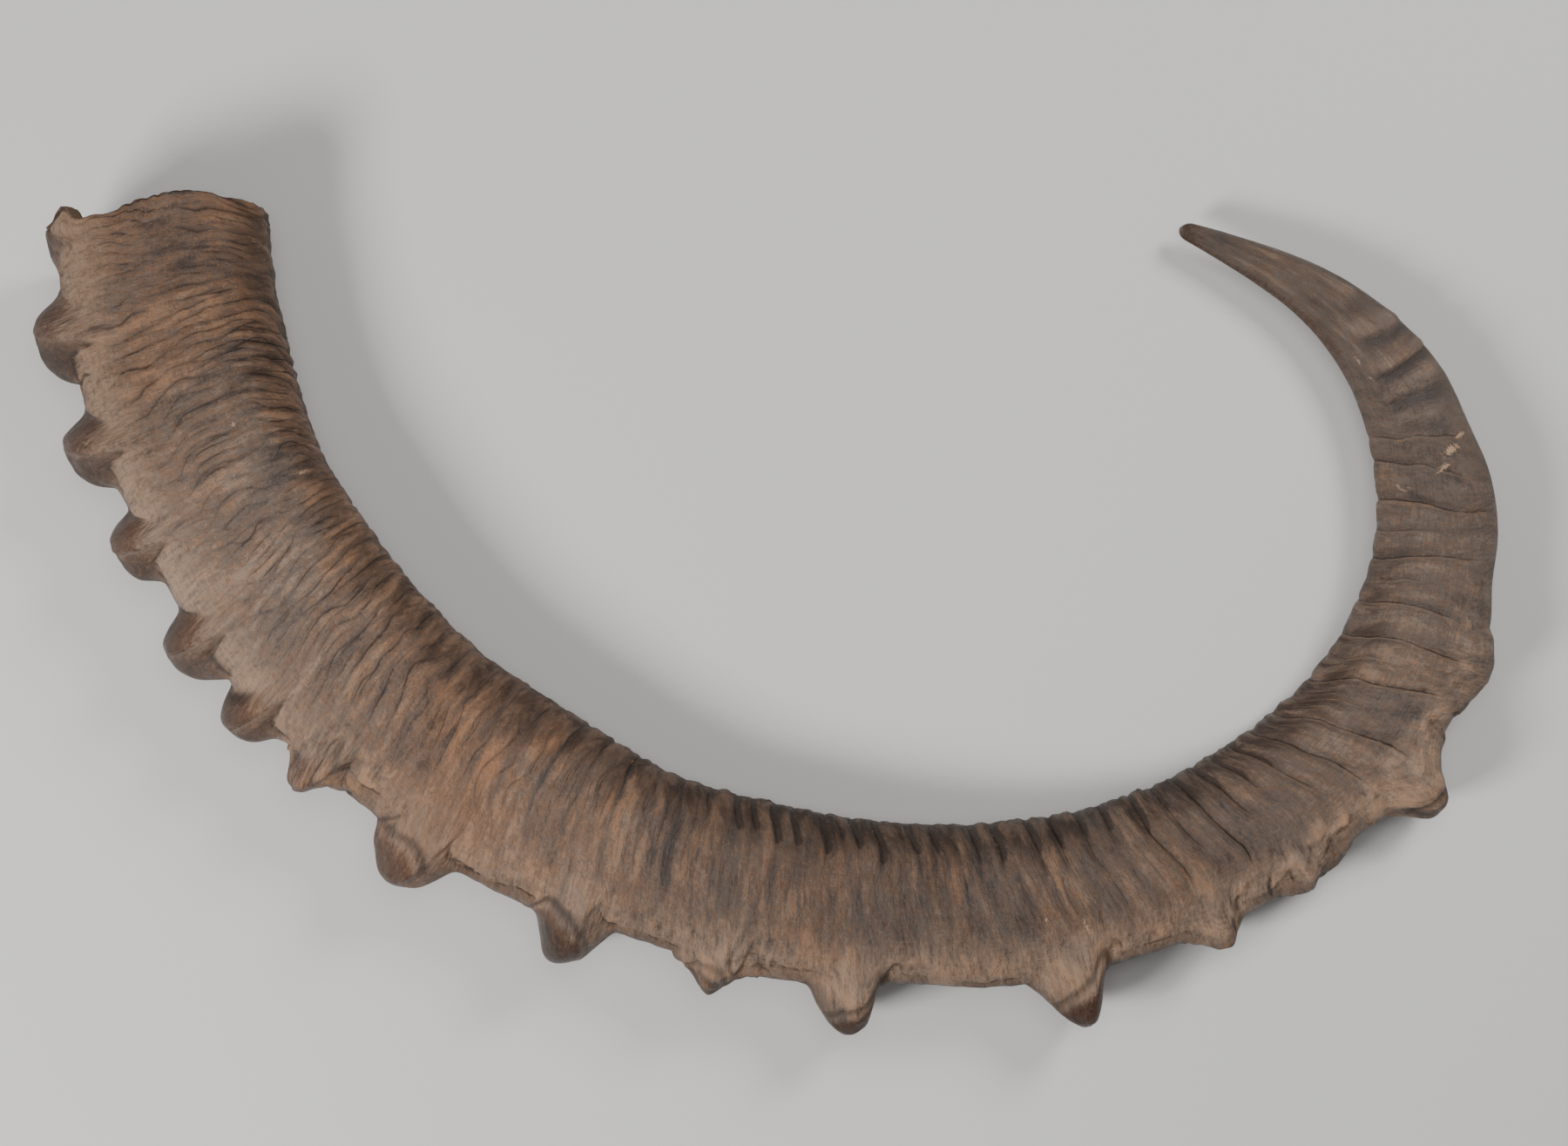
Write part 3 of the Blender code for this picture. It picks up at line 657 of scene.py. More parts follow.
class Skin:
    """The outer skin at a grid of rows and angles, with what the material needs to know of it."""

    def __init__(self, row, angle):
        self.row, self.angle = row, angle
        self.turned = np.degrees(angle)
        self.radius = section_radius(row, angle)
        self.radius -= smooth(BACK_INSET, row) * rise(np.abs(self.turned), *INSET_ANGLES)
        self.grain = grain_row(row, angle)
        self.ahead = self.radius * np.cos(angle)
        self.aside = self.radius * np.sin(angle)
        self.front_place = growth_place(row, angle)

    def wavy(self, along, around, seed, size):
        """Noise that changes over one length along the horn and over another round it."""
        return size * noise(self.grain / along, self.ahead / around, self.aside / around, seed)

    def rough(self, name):
        """The sum of a named noise's layers."""
        return sum(self.wavy(*layer) for layer in NOISES[name])

    def knobs(self):
        """Height of the knobs above the plain section, and how deep the skin sinks beside them."""
        turned, zero = self.turned, np.zeros_like(self.row)
        upper = np.maximum(np.maximum(turned, 0.0) + self.rough("knob flank"), 0.0)
        straight = self.front_place + self.rough("knob place")
        slanted = np.clip((turned - SLANT_FROM) / (SLANT_TO - SLANT_FROM), 0.0, MOST_SLANT)
        place = straight - smooth(KNOB_SLANT, self.front_place) * slanted
        floor = smooth(VALLEY, self.front_place)
        self.height, self.nose, self.lobe_and_under_shade, self.lumpy, self.line, sunk = [zero] * 6
        below = fade(-np.minimum(turned, 0.0), UNDER_FULL_TO, UNDER_GONE_BY)
        nose_dome = dome(upper, NOSE_REACH, NOSE_ROUNDNESS)
        inside_nose = window(upper, *NOSE_WINDOW)
        taper = NOSE_TAPER * unit(upper / SLANT_TO) ** TAPER_POWER
        for outline, nose_to, hang_to, shine, lumpy, lobe_shading, ball in KNOBS:
            across, up = np.array(outline, float).T
            first, last, size = across[0], across[-1], min(up.max() / FULL_KNOB, 1.0)
            nose_length = nose_to * (last - first)
            on = (place > first) & (place < last)
            narrowing = taper * (BALL_TAPER if ball else 1.0)
            through = (place - first) / nose_length
            within_nose = unit((through - narrowing) / (1 - narrowing))
            drawn = np.where(through < 1, first + within_nose * nose_length, place)
            high = smooth(outline, drawn)
            if first > NARROW_FROM:
                high = np.minimum(high, smooth(outline, straight - NARROW_SHIFT))
            high = np.where(on, np.maximum(high - floor, 0.0), 0.0)
            past = place - first - nose_length
            behind = rise(past, *LOBE_STARTS)
            edge = hang_to + (TURN_IN_ANGLE - hang_to) * fade(past, 0.0, TURN_IN_LENGTH)
            within = edge - upper
            lobe_dome = dome(upper, edge, LOBE_ROUNDNESS)
            domed = nose_dome * (1 - behind) + lobe_dome * behind
            self.height = np.maximum(self.height, high * np.where(turned >= 0, domed, below))

            beyond = past - GROOVE_OFFSET
            crease = bell(np.maximum(beyond, 0), CREASE_AFTER)
            crease = crease * bell(np.minimum(beyond, 0), CREASE_BEFORE)
            crease = crease * on * window(upper, *CREASE_WINDOW)
            hang = bell(np.maximum(within, 0.0), HANG_WIDTH) * (within > 0) * on * behind
            hang = hang * rise(upper, *HANG_ANGLES)
            swell = bell(within_nose - SWELL_AT, SWELL_WIDTH) * inside_nose * on * (through < 1)
            over = unit(past / (last - first - nose_length))
            round_lobe = unit(1 - ((upper - LOBE_MIDDLE) / LOBE_HALF) ** 2)
            round_lobe = arch(over) * round_lobe
            foot = (through - narrowing) * nose_length - GROOVE_OFFSET
            foot = bell(foot, FOOT_WIDTH) * fade(upper, *FOOT_ANGLES)
            foot = foot * inside_nose * min(FOOT_STRENGTH * shine, 1.0)
            if ball and ball[0] > FOOTLESS_FROM:
                foot = zero
            sunk = np.maximum(sunk, size * np.maximum(HANG_DEPTH * hang, CREASE_DEPTH * crease))
            sunk = np.maximum(sunk, FOOT_DEPTH * size * foot)
            sunk = sunk - size * (NOSE_SWELL * swell + LOBE_SWELL * round_lobe * on)
            # lines of painted shade under the keel's edge behind the nose, at the nose's foot and in
            # its crease
            beside = bell(within - EDGE_LINE_IN, EDGE_LINE_WIDTH) * behind * on
            beside = beside * rise(upper, *EDGE_LINE_ANGLES)
            edges = EDGE_SHADE_LINE * np.maximum(beside, foot)
            self.line = np.maximum(self.line, size * np.maximum(edges, CREASE_SHADE_LINE * crease))
            nose = fade(past, *NOSE_ENDS) * fade(upper, *NOSE_COLOUR_ANGLES) * unit(3 * within_nose)
            nose = nose * (through < NOSE_CUT)
            if ball:
                centre, half_length, reach = ball
                around = np.maximum(upper - BALL_FROM, 0) / reach
                away = np.hypot((place - centre) / half_length, around)
                nose = fade(away, *BALL_EDGE)
                groove = bell((away - BALL_EDGE[1]) * half_length, BALL_GROOVE_WIDTH)
                groove = groove * on * rise(upper, *BALL_GROOVE_ANGLES)
                sunk = np.maximum(sunk, BALL_GROOVE * size * groove)
                sunk = sunk - NOSE_SWELL * size * unit(1 - away**2)
                # a line of painted shade in the ball's groove
                self.line = np.maximum(self.line, BALL_GROOVE_SHADE * size * groove)
                if lumpy > ARCS_FROM:
                    arcs = np.sin(2 * np.pi * away * half_length / ARC_PITCH)
                    sunk = sunk + ARC_DEPTH * lumpy * arcs * on * fade(upper, *ARC_ANGLES)
            self.nose = np.maximum(self.nose, shine * size * nose)
            # painted shade on the lobe behind the nose, darkest towards the outline
            lobe_and_under_shade = lobe_shading * on * behind * unit(high * lobe_dome / LOBE_SHADE_FULL_HEIGHT)
            lobe_and_under_shade = lobe_and_under_shade * least(LOBE_SHADE_LEAST, fade(upper, *LOBE_SHADE_ANGLES))
            self.lobe_and_under_shade = np.maximum(self.lobe_and_under_shade, lobe_and_under_shade)
            self.lumpy = np.maximum(self.lumpy, lumpy * on * fade(upper, *LUMPY_ANGLES))
        # painted shade where the skin turns under, cleared on the knobs
        under = fade(turned, *UNDER_SHADE_ANGLES) * (1 - unit(self.height / UNDER_SHADE_HEIGHT))
        under = under * (UNDER_SHADE_LEAST + UNDER_SHADE_MORE * fade(self.row, *UNDER_SHADE_DARKEST))
        self.lobe_and_under_shade = np.maximum(self.lobe_and_under_shade, under * fade(self.row, *UNDER_SHADE_ENDS))
        return self.height + floor * fade(np.abs(turned), *KEEL_ANGLES), sunk

    def rings(self):
        """Depth of the steps at the growth rings and of the flutes near the tip.

        The material draws each step's fine line where the count along the horn is a whole number.
        """
        turned = np.abs(self.turned)
        line = self.grain + self.rough("ring")
        rows, reach, deep = np.array(RINGS, float).T
        rows = np.concatenate([[rows[0] - BEYOND_RINGS], rows, [rows[-1] + BEYOND_RINGS]])
        reach = np.concatenate([[180.0], reach, [180.0]])
        deep = np.concatenate([[0.0], deep, [0.0]])
        self.ring = np.interp(line, rows, np.arange(len(rows)))
        number = np.minimum(self.ring.astype(int), len(rows) - 2)
        share = self.ring - number
        self.ring_gap = (rows[number + 1] - rows[number]) * np.ones_like(line)
        stepped = rise(self.row, *STEPS_GROW)
        soft = RING_FADE * (1 - STEP_SHARPNESS * stepped)

        def shown(count):
            to = reach[count] + np.where(self.turned < 0, UNDER_REACH * np.sin(count * REACH_TURN), 0.0)
            return deep[count] * rise(turned, to, to + soft)

        here, ahead = shown(number), shown(number + 1)
        past, before = share * self.ring_gap, (1 - share) * self.ring_gap
        at_edge = rise(turned, *RING_BACK_EDGE)
        cut = here * bell(past, CUT_AFTER) + ahead * bell(before, CUT_BEFORE)
        cut = cut * (1 - SHALLOWER_CUT * at_edge)
        bulge = (arch(share) - BULGE_BASE * stepped) * 0.5 * (here + ahead)
        bulge = bulge * (1 - FLATTER_BULGE * at_edge)
        self.ring_depth = np.where(share < 0.5, here, ahead)
        self.ring_line = self.ring_depth * np.maximum(least(RING_LINE_LEAST, stepped), at_edge)
        self.ring_line = self.ring_line * least(RING_LINE_END, fade(self.row, *RING_LINES_WEAKEN))
        wedge_from = WEDGE_FROM + self.rough("wedge")
        self.wedge = rise(turned, wedge_from, wedge_from + WEDGE_SOFT)
        self.wedge = self.wedge * unit((self.ring_depth - WEDGE_DEPTH) / WEDGE_DEPTH_SOFT)
        self.wedge = self.wedge * window(self.row, *WEDGE_ROWS)
        tint = np.where(share < 0.5, deep[number], deep[number + 1])
        # blue-grey hollows between the rings, partly painted shade
        self.slate_and_shade = unit((tint - SLATE_DEPTH) / SLATE_DEPTH_SOFT) * rise(turned, *SLATE_ANGLES)
        self.slate_and_shade = self.slate_and_shade * smooth(SLATE_ALONG, self.row)
        self.flute, self.rib_highlight = np.zeros_like(line), np.zeros_like(line)
        depth = (CUT_DEPTH + CUT_MORE * stepped) * cut
        depth = depth - (BULGE_HEIGHT + BULGE_MORE * stepped) * bulge
        for row, first, last, deep, half_width in FLUTES:
            shares = deep * window(self.turned, first, first + FLUTE_OPENS, last - FLUTE_CLOSES, last)
            flute = bell(line - row, half_width)
            flute = flute - RIB_HEIGHT * bell(line - row - RIB_PAST, RIB_WIDTH)
            depth = depth + shares * flute
            # painted shade in the flute's groove, and painted light on the rib beyond it
            shade = FLUTE_SHADE * bell(line - row, FLUTE_SHADE_WIDTH)
            self.flute = np.maximum(self.flute, shares * shade)
            light = RIB_SHARE * bell(line - row - RIB_LIGHT_PAST, RIB_LIGHT_WIDTH)
            self.rib_highlight = np.maximum(self.rib_highlight, shares * light)
        return depth

    def cracks(self):
        """Depth of the short cracks across; the material draws the cracks along the front edge."""
        self.edge = self.turned - smooth(EDGE_ANGLE, self.front_place) - self.rough("edge crack")
        self.edge_share, self.crack = np.zeros_like(self.row), np.zeros_like(self.row)
        for first, last, deep in EDGE_CRACKS:
            ends = (first, first + EDGE_CRACK_SOFT, last - EDGE_CRACK_SOFT, last)
            along = deep * window(self.front_place, *ends)
            self.edge_share = np.maximum(self.edge_share, along)
        for row, first, last, deep in CROSS_CRACKS:
            ends = (first, first + CROSS_CRACK_OPENS, last - CROSS_CRACK_CLOSES, last)
            off_line = self.grain - row - self.rough("cross crack")
            across = deep * window(self.turned, *ends) * bell(off_line, CROSS_CRACK_WIDTH)
            self.crack = np.maximum(self.crack, across)
        groove = EDGE_GROOVE * self.edge_share * bell(self.edge, EDGE_GROOVE_WIDTH)
        return np.maximum(groove, self.crack)

    def fold_count(self, pitch, seed):
        """A count of the creases along the horn: each runs where it is a whole number."""
        count = self.grain / pitch
        for step, (pitches, around, size) in enumerate(FOLD_WAVES):
            count = count + self.wavy(pitches * pitch, around, seed + step, size)
        return count

    def folds(self, name):
        """Waves along the growth lines, 1 on their round crests and 0 in their sharp creases."""
        return np.abs(np.sin(np.pi * self.fold_count(*FOLDS[name]))) ** FOLD_SHARPNESS

    def patchy(self, name):
        """0 to 1 in soft patches, which cover more of the skin where most is larger."""
        along, around, seed, most = PATCHES[name]
        return unit(most + self.wavy(along, around, seed, PATCH_CONTRAST))

    def wrinkles(self):
        """Fine relief that follows the growth lines, in millimetres outward."""
        turned, row = np.abs(self.turned), self.row
        side = rise(turned, *SIDE_ANGLES)
        base, before_rings = fade(row, *BASE_ENDS), fade(row, *BODY_ENDS)
        body = before_rings - base
        rings = fade(row, *RINGS_END) - before_rings
        wide_patch, close_patch = self.patchy("wide"), self.patchy("close")
        waves = WIDE_HEIGHT * (self.folds("wide") - FOLD_MEAN) * wide_patch
        waves = waves + CLOSE_HEIGHT * (self.folds("close") - FOLD_MEAN) * close_patch
        forms = {
            "waves": waves,
            "lenses": np.clip(-self.rough("lenses") - LENS_LEVEL, 0.0, LENS_DEPTH) / LENS_DEPTH,
            "lumps": self.rough("lumps"),
            "streaks": self.rough("streaks"),
            "long folds": self.folds("long") - LONG_FOLD_MEAN,
        }
        relief = 0.0
        for name, amounts in RELIEF.items():
            for part, amount in zip((base, body, rings), amounts):
                relief = relief + part * amount * forms[name]
        self.fold, self.close = self.fold_count(*FOLDS["wide"]), self.fold_count(*FOLDS["close"])
        to_back = 1 - (1 - rise(turned, *TO_BACK_ANGLES)) * rise(row, *FRONT_CALMS)
        self.fold_share = side * (base + WIDE_ON_BODY * body) * wide_patch * least(WIDE_FRONT, to_back)
        self.close_share = side * (CLOSE_ON_BASE * base + CLOSE_ON_BODY * body) * close_patch
        self.close_share = self.close_share * least(CLOSE_FRONT, to_back)
        cross = BACK_FOLD_HEIGHT * (self.folds("back") - FOLD_MEAN) * fade(row, *BACK_FOLDS_END)
        cross = cross * rise(turned, *BACK_ANGLES) * least(BACK_FOLD_LEAST, self.patchy("back"))
        relief = side * ((relief + cross) * least(FRONT_RELIEF, to_back) + self.rough("broad"))
        relief = relief + (1 - side) * self.rough("front") * (1 - rings)
        torn = bell(turned - TORN_ANGLE, TORN_WIDTH) * (1 - base) * fade(row, *TORN_ENDS)
        relief = relief + torn * self.rough("torn edge")
        still = fade(row, *TIP_STARTS)
        return relief * still + (1 - still) * self.rough("tip")

    def spots(self, table, line):
        """The strongest of a table's spots at every point."""
        most = np.zeros_like(self.row)
        for place, angle, along, around, strength in table:
            near = strength * bell(line - place, along) * bell(self.turned - angle, around)
            most = np.maximum(most, near)
        return most

    def shades(self):
        """Where the skin is pale along its front edge, dark at the back, warm brown or orange, and its
        painted light and shade.
        """
        turned, row = self.turned + self.rough("shade"), self.row
        on_knob = np.maximum(unit(self.nose * 3), unit(self.lobe_and_under_shade * 2)) * fade(turned, *BAND_CLEAR)
        # The pale band along the front edge, partly painted light.
        narrow = window(turned, *NARROW_BAND) * fade(row, *NARROW_BAND_ENDS)
        narrow = narrow * least(NARROW_BAND_LEAST, fade(row, *NARROW_BAND_WEAKENS))
        wide = window(turned, *WIDE_BAND) * window(row, *WIDE_BAND_ROWS)
        self.pale_band_and_light = (1 - on_knob) * np.maximum(narrow, WIDE_BAND_SHARE * wide)
        back = rise(np.abs(self.turned + self.rough("back")), *DARK_ANGLES)
        self.dark = back * least(DARK_LEAST, rise(row, *DARK_GROWS)) * fade(row, *DARK_ENDS)
        self.warm = np.maximum(smooth(WARMTH, row), back * fade(row, *WARM_BACK_ENDS))
        self.warm = np.maximum(self.warm, self.lobe_and_under_shade)
        # painted shade on the keel and the noses, and painted light on the pale band and the ribs
        lightness = smooth(LIGHTNESS, row) * (1 - KEEL_SHADE * window(turned, *KEEL_SHADE_ANGLES))
        lightness = lightness * (1 + BAND_PAINTED_LIGHT * self.pale_band_and_light * rise(row, *BAND_PAINTED_LIGHT_ROWS))
        self.lightness = lightness * (1 - NOSE_SHADE * unit(self.nose)) * (1 + RIB_LIGHT * self.rib_highlight)
        self.stepped, self.sleek = rise(row, *STEPPED_ROWS), rise(row, *SLEEK_ROWS)
        horny = HORNY_BACK * bell(np.abs(self.turned) - HORNY_ANGLE, HORNY_WIDTH) * self.sleek
        self.nose = np.maximum(self.nose, horny + HORNY_TIP * rise(row, *HORNY_TIP_ROWS))
        self.ochre = self.spots(OCHRE, self.grain)
        self.chip = self.spots(CHIPS, row)

    def points(self):
        """Points of the skin in millimetres in the row frame."""
        front, sunk = self.knobs()
        on_knob = unit(self.height / CALM_HEIGHT)
        self.relief = self.wrinkles() * (1 - CALM_SHARE * on_knob)
        self.relief = self.relief + self.lumpy * self.rough("lumpy knob")
        deep = self.rings() + self.cracks() + sunk
        relief = (self.relief - deep) * tip_share(self.row)
        position, forward, outward = frame_at(skin_place(self.row, self.angle))
        radius = self.radius + relief
        across = radius * np.cos(self.angle) + front
        plan = position + outward * across[..., None] + forward * (LEAN_SHARE * self.height)[..., None]
        middle_height = smooth(HALF_WIDTH, self.row) * tip_share(self.row) + smooth(LIFT, self.row)
        up = middle_height - ROOM_ABOVE + radius * np.sin(self.angle)
        return np.concatenate([plan - MIDDLE_OF_BOX, np.maximum(up, 0.0)[..., None]], -1)


def growth_place(row, angle):
    """Where a row lies along the middle line at an angle round the horn, but for its hook."""
    return row + growth_shift(row, angle) - rim_break(angle) * fade(row, 0.0, BREAK_FADE)


def skin_place(row, angle):
    """Where a row of the skin lies along the middle line at an angle round the horn."""
    return growth_place(row, angle) + back_hook(row, np.degrees(angle))


def rim_break(angle):
    """How far the broken rim stands out past its growth line."""
    around = angle * RIM_RADIUS
    zero = np.zeros_like(around)
    ragged = sum(size * noise(around / length, zero, zero, seed) for length, seed, size in RIM_CHIPS)
    return ragged - CHIP_OFFSET + np.interp(np.degrees(angle), *np.array(RIM_FORWARD, float).T)


def hollow_points(row, angle, skin_knob):
    """Points of the hollow's wall in millimetres in the row frame."""
    wall = WALL_INSIDE + (WALL_AT_RIM - WALL_INSIDE) * fade(row, 0.0, WALL_GROWS_OVER)
    narrowing = np.sqrt(1 - (1 - HOLLOW_END_SHARE**2) * (row / HOLLOW_LENGTH) ** 2)
    round_ridges = RIDGES_AROUND * np.cos(angle), RIDGES_AROUND * np.sin(angle)
    ridges = RIDGE_HEIGHT * noise(row / RIDGE_LENGTH, *round_ridges, RIDGE_SEED)
    radius = section_radius(row, angle, wall) * narrowing + ridges * rise(row, 0.0, RIDGES_FROM)
    opened = HOLLOW_IN_KNOB * skin_knob * fade(row, 0.0, BREAK_FADE)
    position, _, outward = frame_at(skin_place(row, angle))
    plan = position + outward * (radius * np.cos(angle) + opened)[..., None]
    up = smooth(HALF_WIDTH, row) + smooth(LIFT, row) + radius * np.sin(angle)
    return np.concatenate([plan - MIDDLE_OF_BOX, up[..., None]], -1)


def column_angles():
    """Angles round the horn in radians, closest together across the knobs."""
    turned = np.concatenate([np.arange(*steps) for steps in ANGLE_STEPS])
    return np.radians(np.where(turned > 180, turned - 360, turned))


def growth_rows():
    """Rows along the horn, closest together where the folds and rings are, and at the tip's end."""
    rows = [np.arange(*steps) for steps in ROW_STEPS]
    return np.concatenate(rows + [LENGTH - TIP_ROUNDING * np.array(TIP_SHARES)])


def add(name, data):
    """A new object in the scene."""
    thing = bpy.data.objects.new(name, data)
    bpy.context.scene.collection.objects.link(thing)
    return thing


def rim_rings(skin_rim, wall_rim, angles):
    """Rings of points over the broken rim, from the wall's last ring to the skin's first one."""
    inward = wall_rim - skin_rim
    thickness = np.linalg.norm(inward, axis=-1, keepdims=True)
    inward = inward / thickness
    _, forward, _ = frame_at(growth_shift(0.0 * angles, angles))
    rings = []
    for along, into in reversed(RIM_STEPS):
        ring = skin_rim + inward * min(into / WALL_AT_RIM, MOST_INTO_WALL) * thickness
        ring[:, :2] += forward * along
        rings.append(ring)
    return np.array(rings)


def grid_faces(rings, columns):
    """Four-sided faces between rings of vertices numbered ring by ring."""
    ring, column = np.meshgrid(np.arange(rings - 1), np.arange(columns), indexing="ij")
    beside = (column + 1) % columns
    corners = [ring * columns + column, ring * columns + beside,
               (ring + 1) * columns + beside, (ring + 1) * columns + column]
    return np.stack(corners, -1).reshape(-1, 4)


def make_horn():
    """One closed mesh: the hollow's wall from its end to the rim, the rim, and the skin."""
    angles = column_angles()
    columns = len(angles)
    skin = Skin(*np.meshgrid(growth_rows(), angles, indexing="ij"))
    outer = skin.points()
    skin.shades()
    hollow_rows = np.concatenate([np.linspace(*rows) for rows in HOLLOW_ROWS])
    inner_row, inner_angle = np.meshgrid(hollow_rows, angles, indexing="ij")
    inner = hollow_points(inner_row, inner_angle, np.broadcast_to(skin.height[0], inner_row.shape))
    rim = rim_rings(outer[0], inner[-1], angles)

    rings = np.concatenate([inner, rim, outer])
    tip = frame_at(np.array([LENGTH]))[0][0] - MIDDLE_OF_BOX
    ends = [inner[0].mean(0), [*tip, smooth(LIFT, np.array([LENGTH]))[0]]]
    points = np.concatenate([rings.reshape(-1, 3), ends])
    hollow_end, tip_end = len(points) - 2, len(points) - 1
    last = (len(rings) - 1) * columns
    pairs = [(column, (column + 1) % columns) for column in range(columns)]
    caps = [(beside, column, hollow_end) for column, beside in pairs]
    caps += [(last + column, last + beside, tip_end) for column, beside in pairs]

    skin_from = (len(inner) + len(rim)) * columns
    marks = {name: np.zeros(len(points)) for name in MARKS + ["inside"]}
    for name in MARKS:
        marks[name][skin_from:hollow_end] = getattr(skin, name).ravel()
    marks["inside"][:skin_from] = 1.0
    marks["inside"][hollow_end] = 1.0
    flat = np.stack([skin.grain, skin.ahead, skin.aside], -1)
    around = INSIDE_GRAIN_RADIUS * np.cos(inner_angle), INSIDE_GRAIN_RADIUS * np.sin(inner_angle)
    grain = [np.stack([inner_row, *around], -1), np.tile(flat[:1], (len(rim), 1, 1)), flat]
    grain = [part.reshape(-1, 3) for part in grain]
    grain = np.concatenate(grain + [[(HOLLOW_LENGTH, 0, 0), (LENGTH, 0, 0)]])

    mesh = bpy.data.meshes.new("horn_skin")
    mesh.from_pydata((points * MM).tolist(), [], grid_faces(len(rings), columns).tolist() + caps)
    mesh.update()
    for name, values in marks.items():
        mesh.attributes.new(name, "FLOAT", "POINT").data.foreach_set("value", values.astype(np.float32))
    vectors = (grain / GRAIN_UNIT).astype(np.float32)
    mesh.attributes.new("grain", "FLOAT_VECTOR", "POINT").data.foreach_set("vector", vectors.ravel())
    mesh.shade_smooth()
    return add("horn_skin", mesh)


class Nodes:
    """Short ways to add nodes to a material."""

    def __init__(self, name):
        self.material = bpy.data.materials.new(name)
        self.material.use_nodes = True
        self.tree = self.material.node_tree
        self.shader = self.tree.nodes["Principled BSDF"]

    def put(self, socket, value):
        """Link a value to a socket, or set it there if it is a number or a colour."""
        if isinstance(value, bpy.types.NodeSocket):
            self.tree.links.new(value, socket)
        else:
            socket.default_value = value

    def node(self, kind, settings=(), **inputs):
        """A new node with its settings, and its inputs by name with spaces as underscores."""
        node = self.tree.nodes.new(kind)
        for name, value in dict(settings).items():
            setattr(node, name, value)
        for name, value in inputs.items():
            self.put(node.inputs[name.replace("_", " ")], value)
        return node

    def attribute(self, name, output="Fac"):
        """An attribute of the mesh."""
        return self.node("ShaderNodeAttribute", {"attribute_name": name}).outputs[output]

    def math(self, operation, first, *others):
        """A math operation over the values, from the left; FRACT and ABSOLUTE ignore the second."""
        for other in others:
            node = self.node("ShaderNodeMath", {"operation": operation})
            self.put(node.inputs[0], first)
            self.put(node.inputs[1], other)
            first = node.outputs[0]
        return first

    def times(self, *values):
        return self.math("MULTIPLY", *values)

    def plus(self, *values):
        return self.math("ADD", *values)

    def spread(self, value, amount):
        """A texture's value moved to lie round zero, times an amount."""
        return self.times(self.math("SUBTRACT", value, 0.5), amount)

    def between(self, value, low, high, out_low=0.0, out_high=1.0):
        """Values from low to high spread over another range, smoothly and no further."""
        node = self.node("ShaderNodeMapRange", {"interpolation_type": "SMOOTHSTEP"}, Value=value,
                         From_Min=low, From_Max=high, To_Min=out_low, To_Max=out_high)
        return node.outputs["Result"]

    def ranged(self, name, value):
        """The value, spread by one of the named ranges."""
        return self.between(value, *RANGES[name])

    def stripe(self, name, count, gap, moved):
        """1 where the count is a whole number, down to 0 at two distances in millimetres from there."""
        near = self.math("SUBTRACT", self.math("FRACT", self.plus(count, 0.5), 0.0), 0.5)
        away = self.plus(self.times(near, gap), moved)
        return self.math("MINIMUM", *(self.between(away, side, 0.0) for side in STRIPES[name]))

    def texture(self, vector, along, around, shift, detail, roughness, distortion):
        """Noise over the vector, which repeats faster along the horn or round it."""
        moved = self.node("ShaderNodeMapping", Vector=vector, Scale=(along, around, around),
                          Location=shift).outputs["Vector"]
        return self.node("ShaderNodeTexNoise", Vector=moved, Scale=1.0, Detail=detail,
                         Roughness=roughness, Distortion=distortion).outputs["Fac"]

    def mix(self, share, first, second, blend="MIX"):
        """The first colour at share 0 and the second at 1, or the first blended with the second."""
        node = self.node("ShaderNodeMix", {"data_type": "RGBA", "blend_type": blend}, Factor=share)
        self.put(node.inputs[6], first)
        self.put(node.inputs[7], second)
        return node.outputs[2]

    def lay(self, under, over, *shares):
        """One colour over another, by the product of the shares."""
        return self.mix(self.times(*shares), under, over)


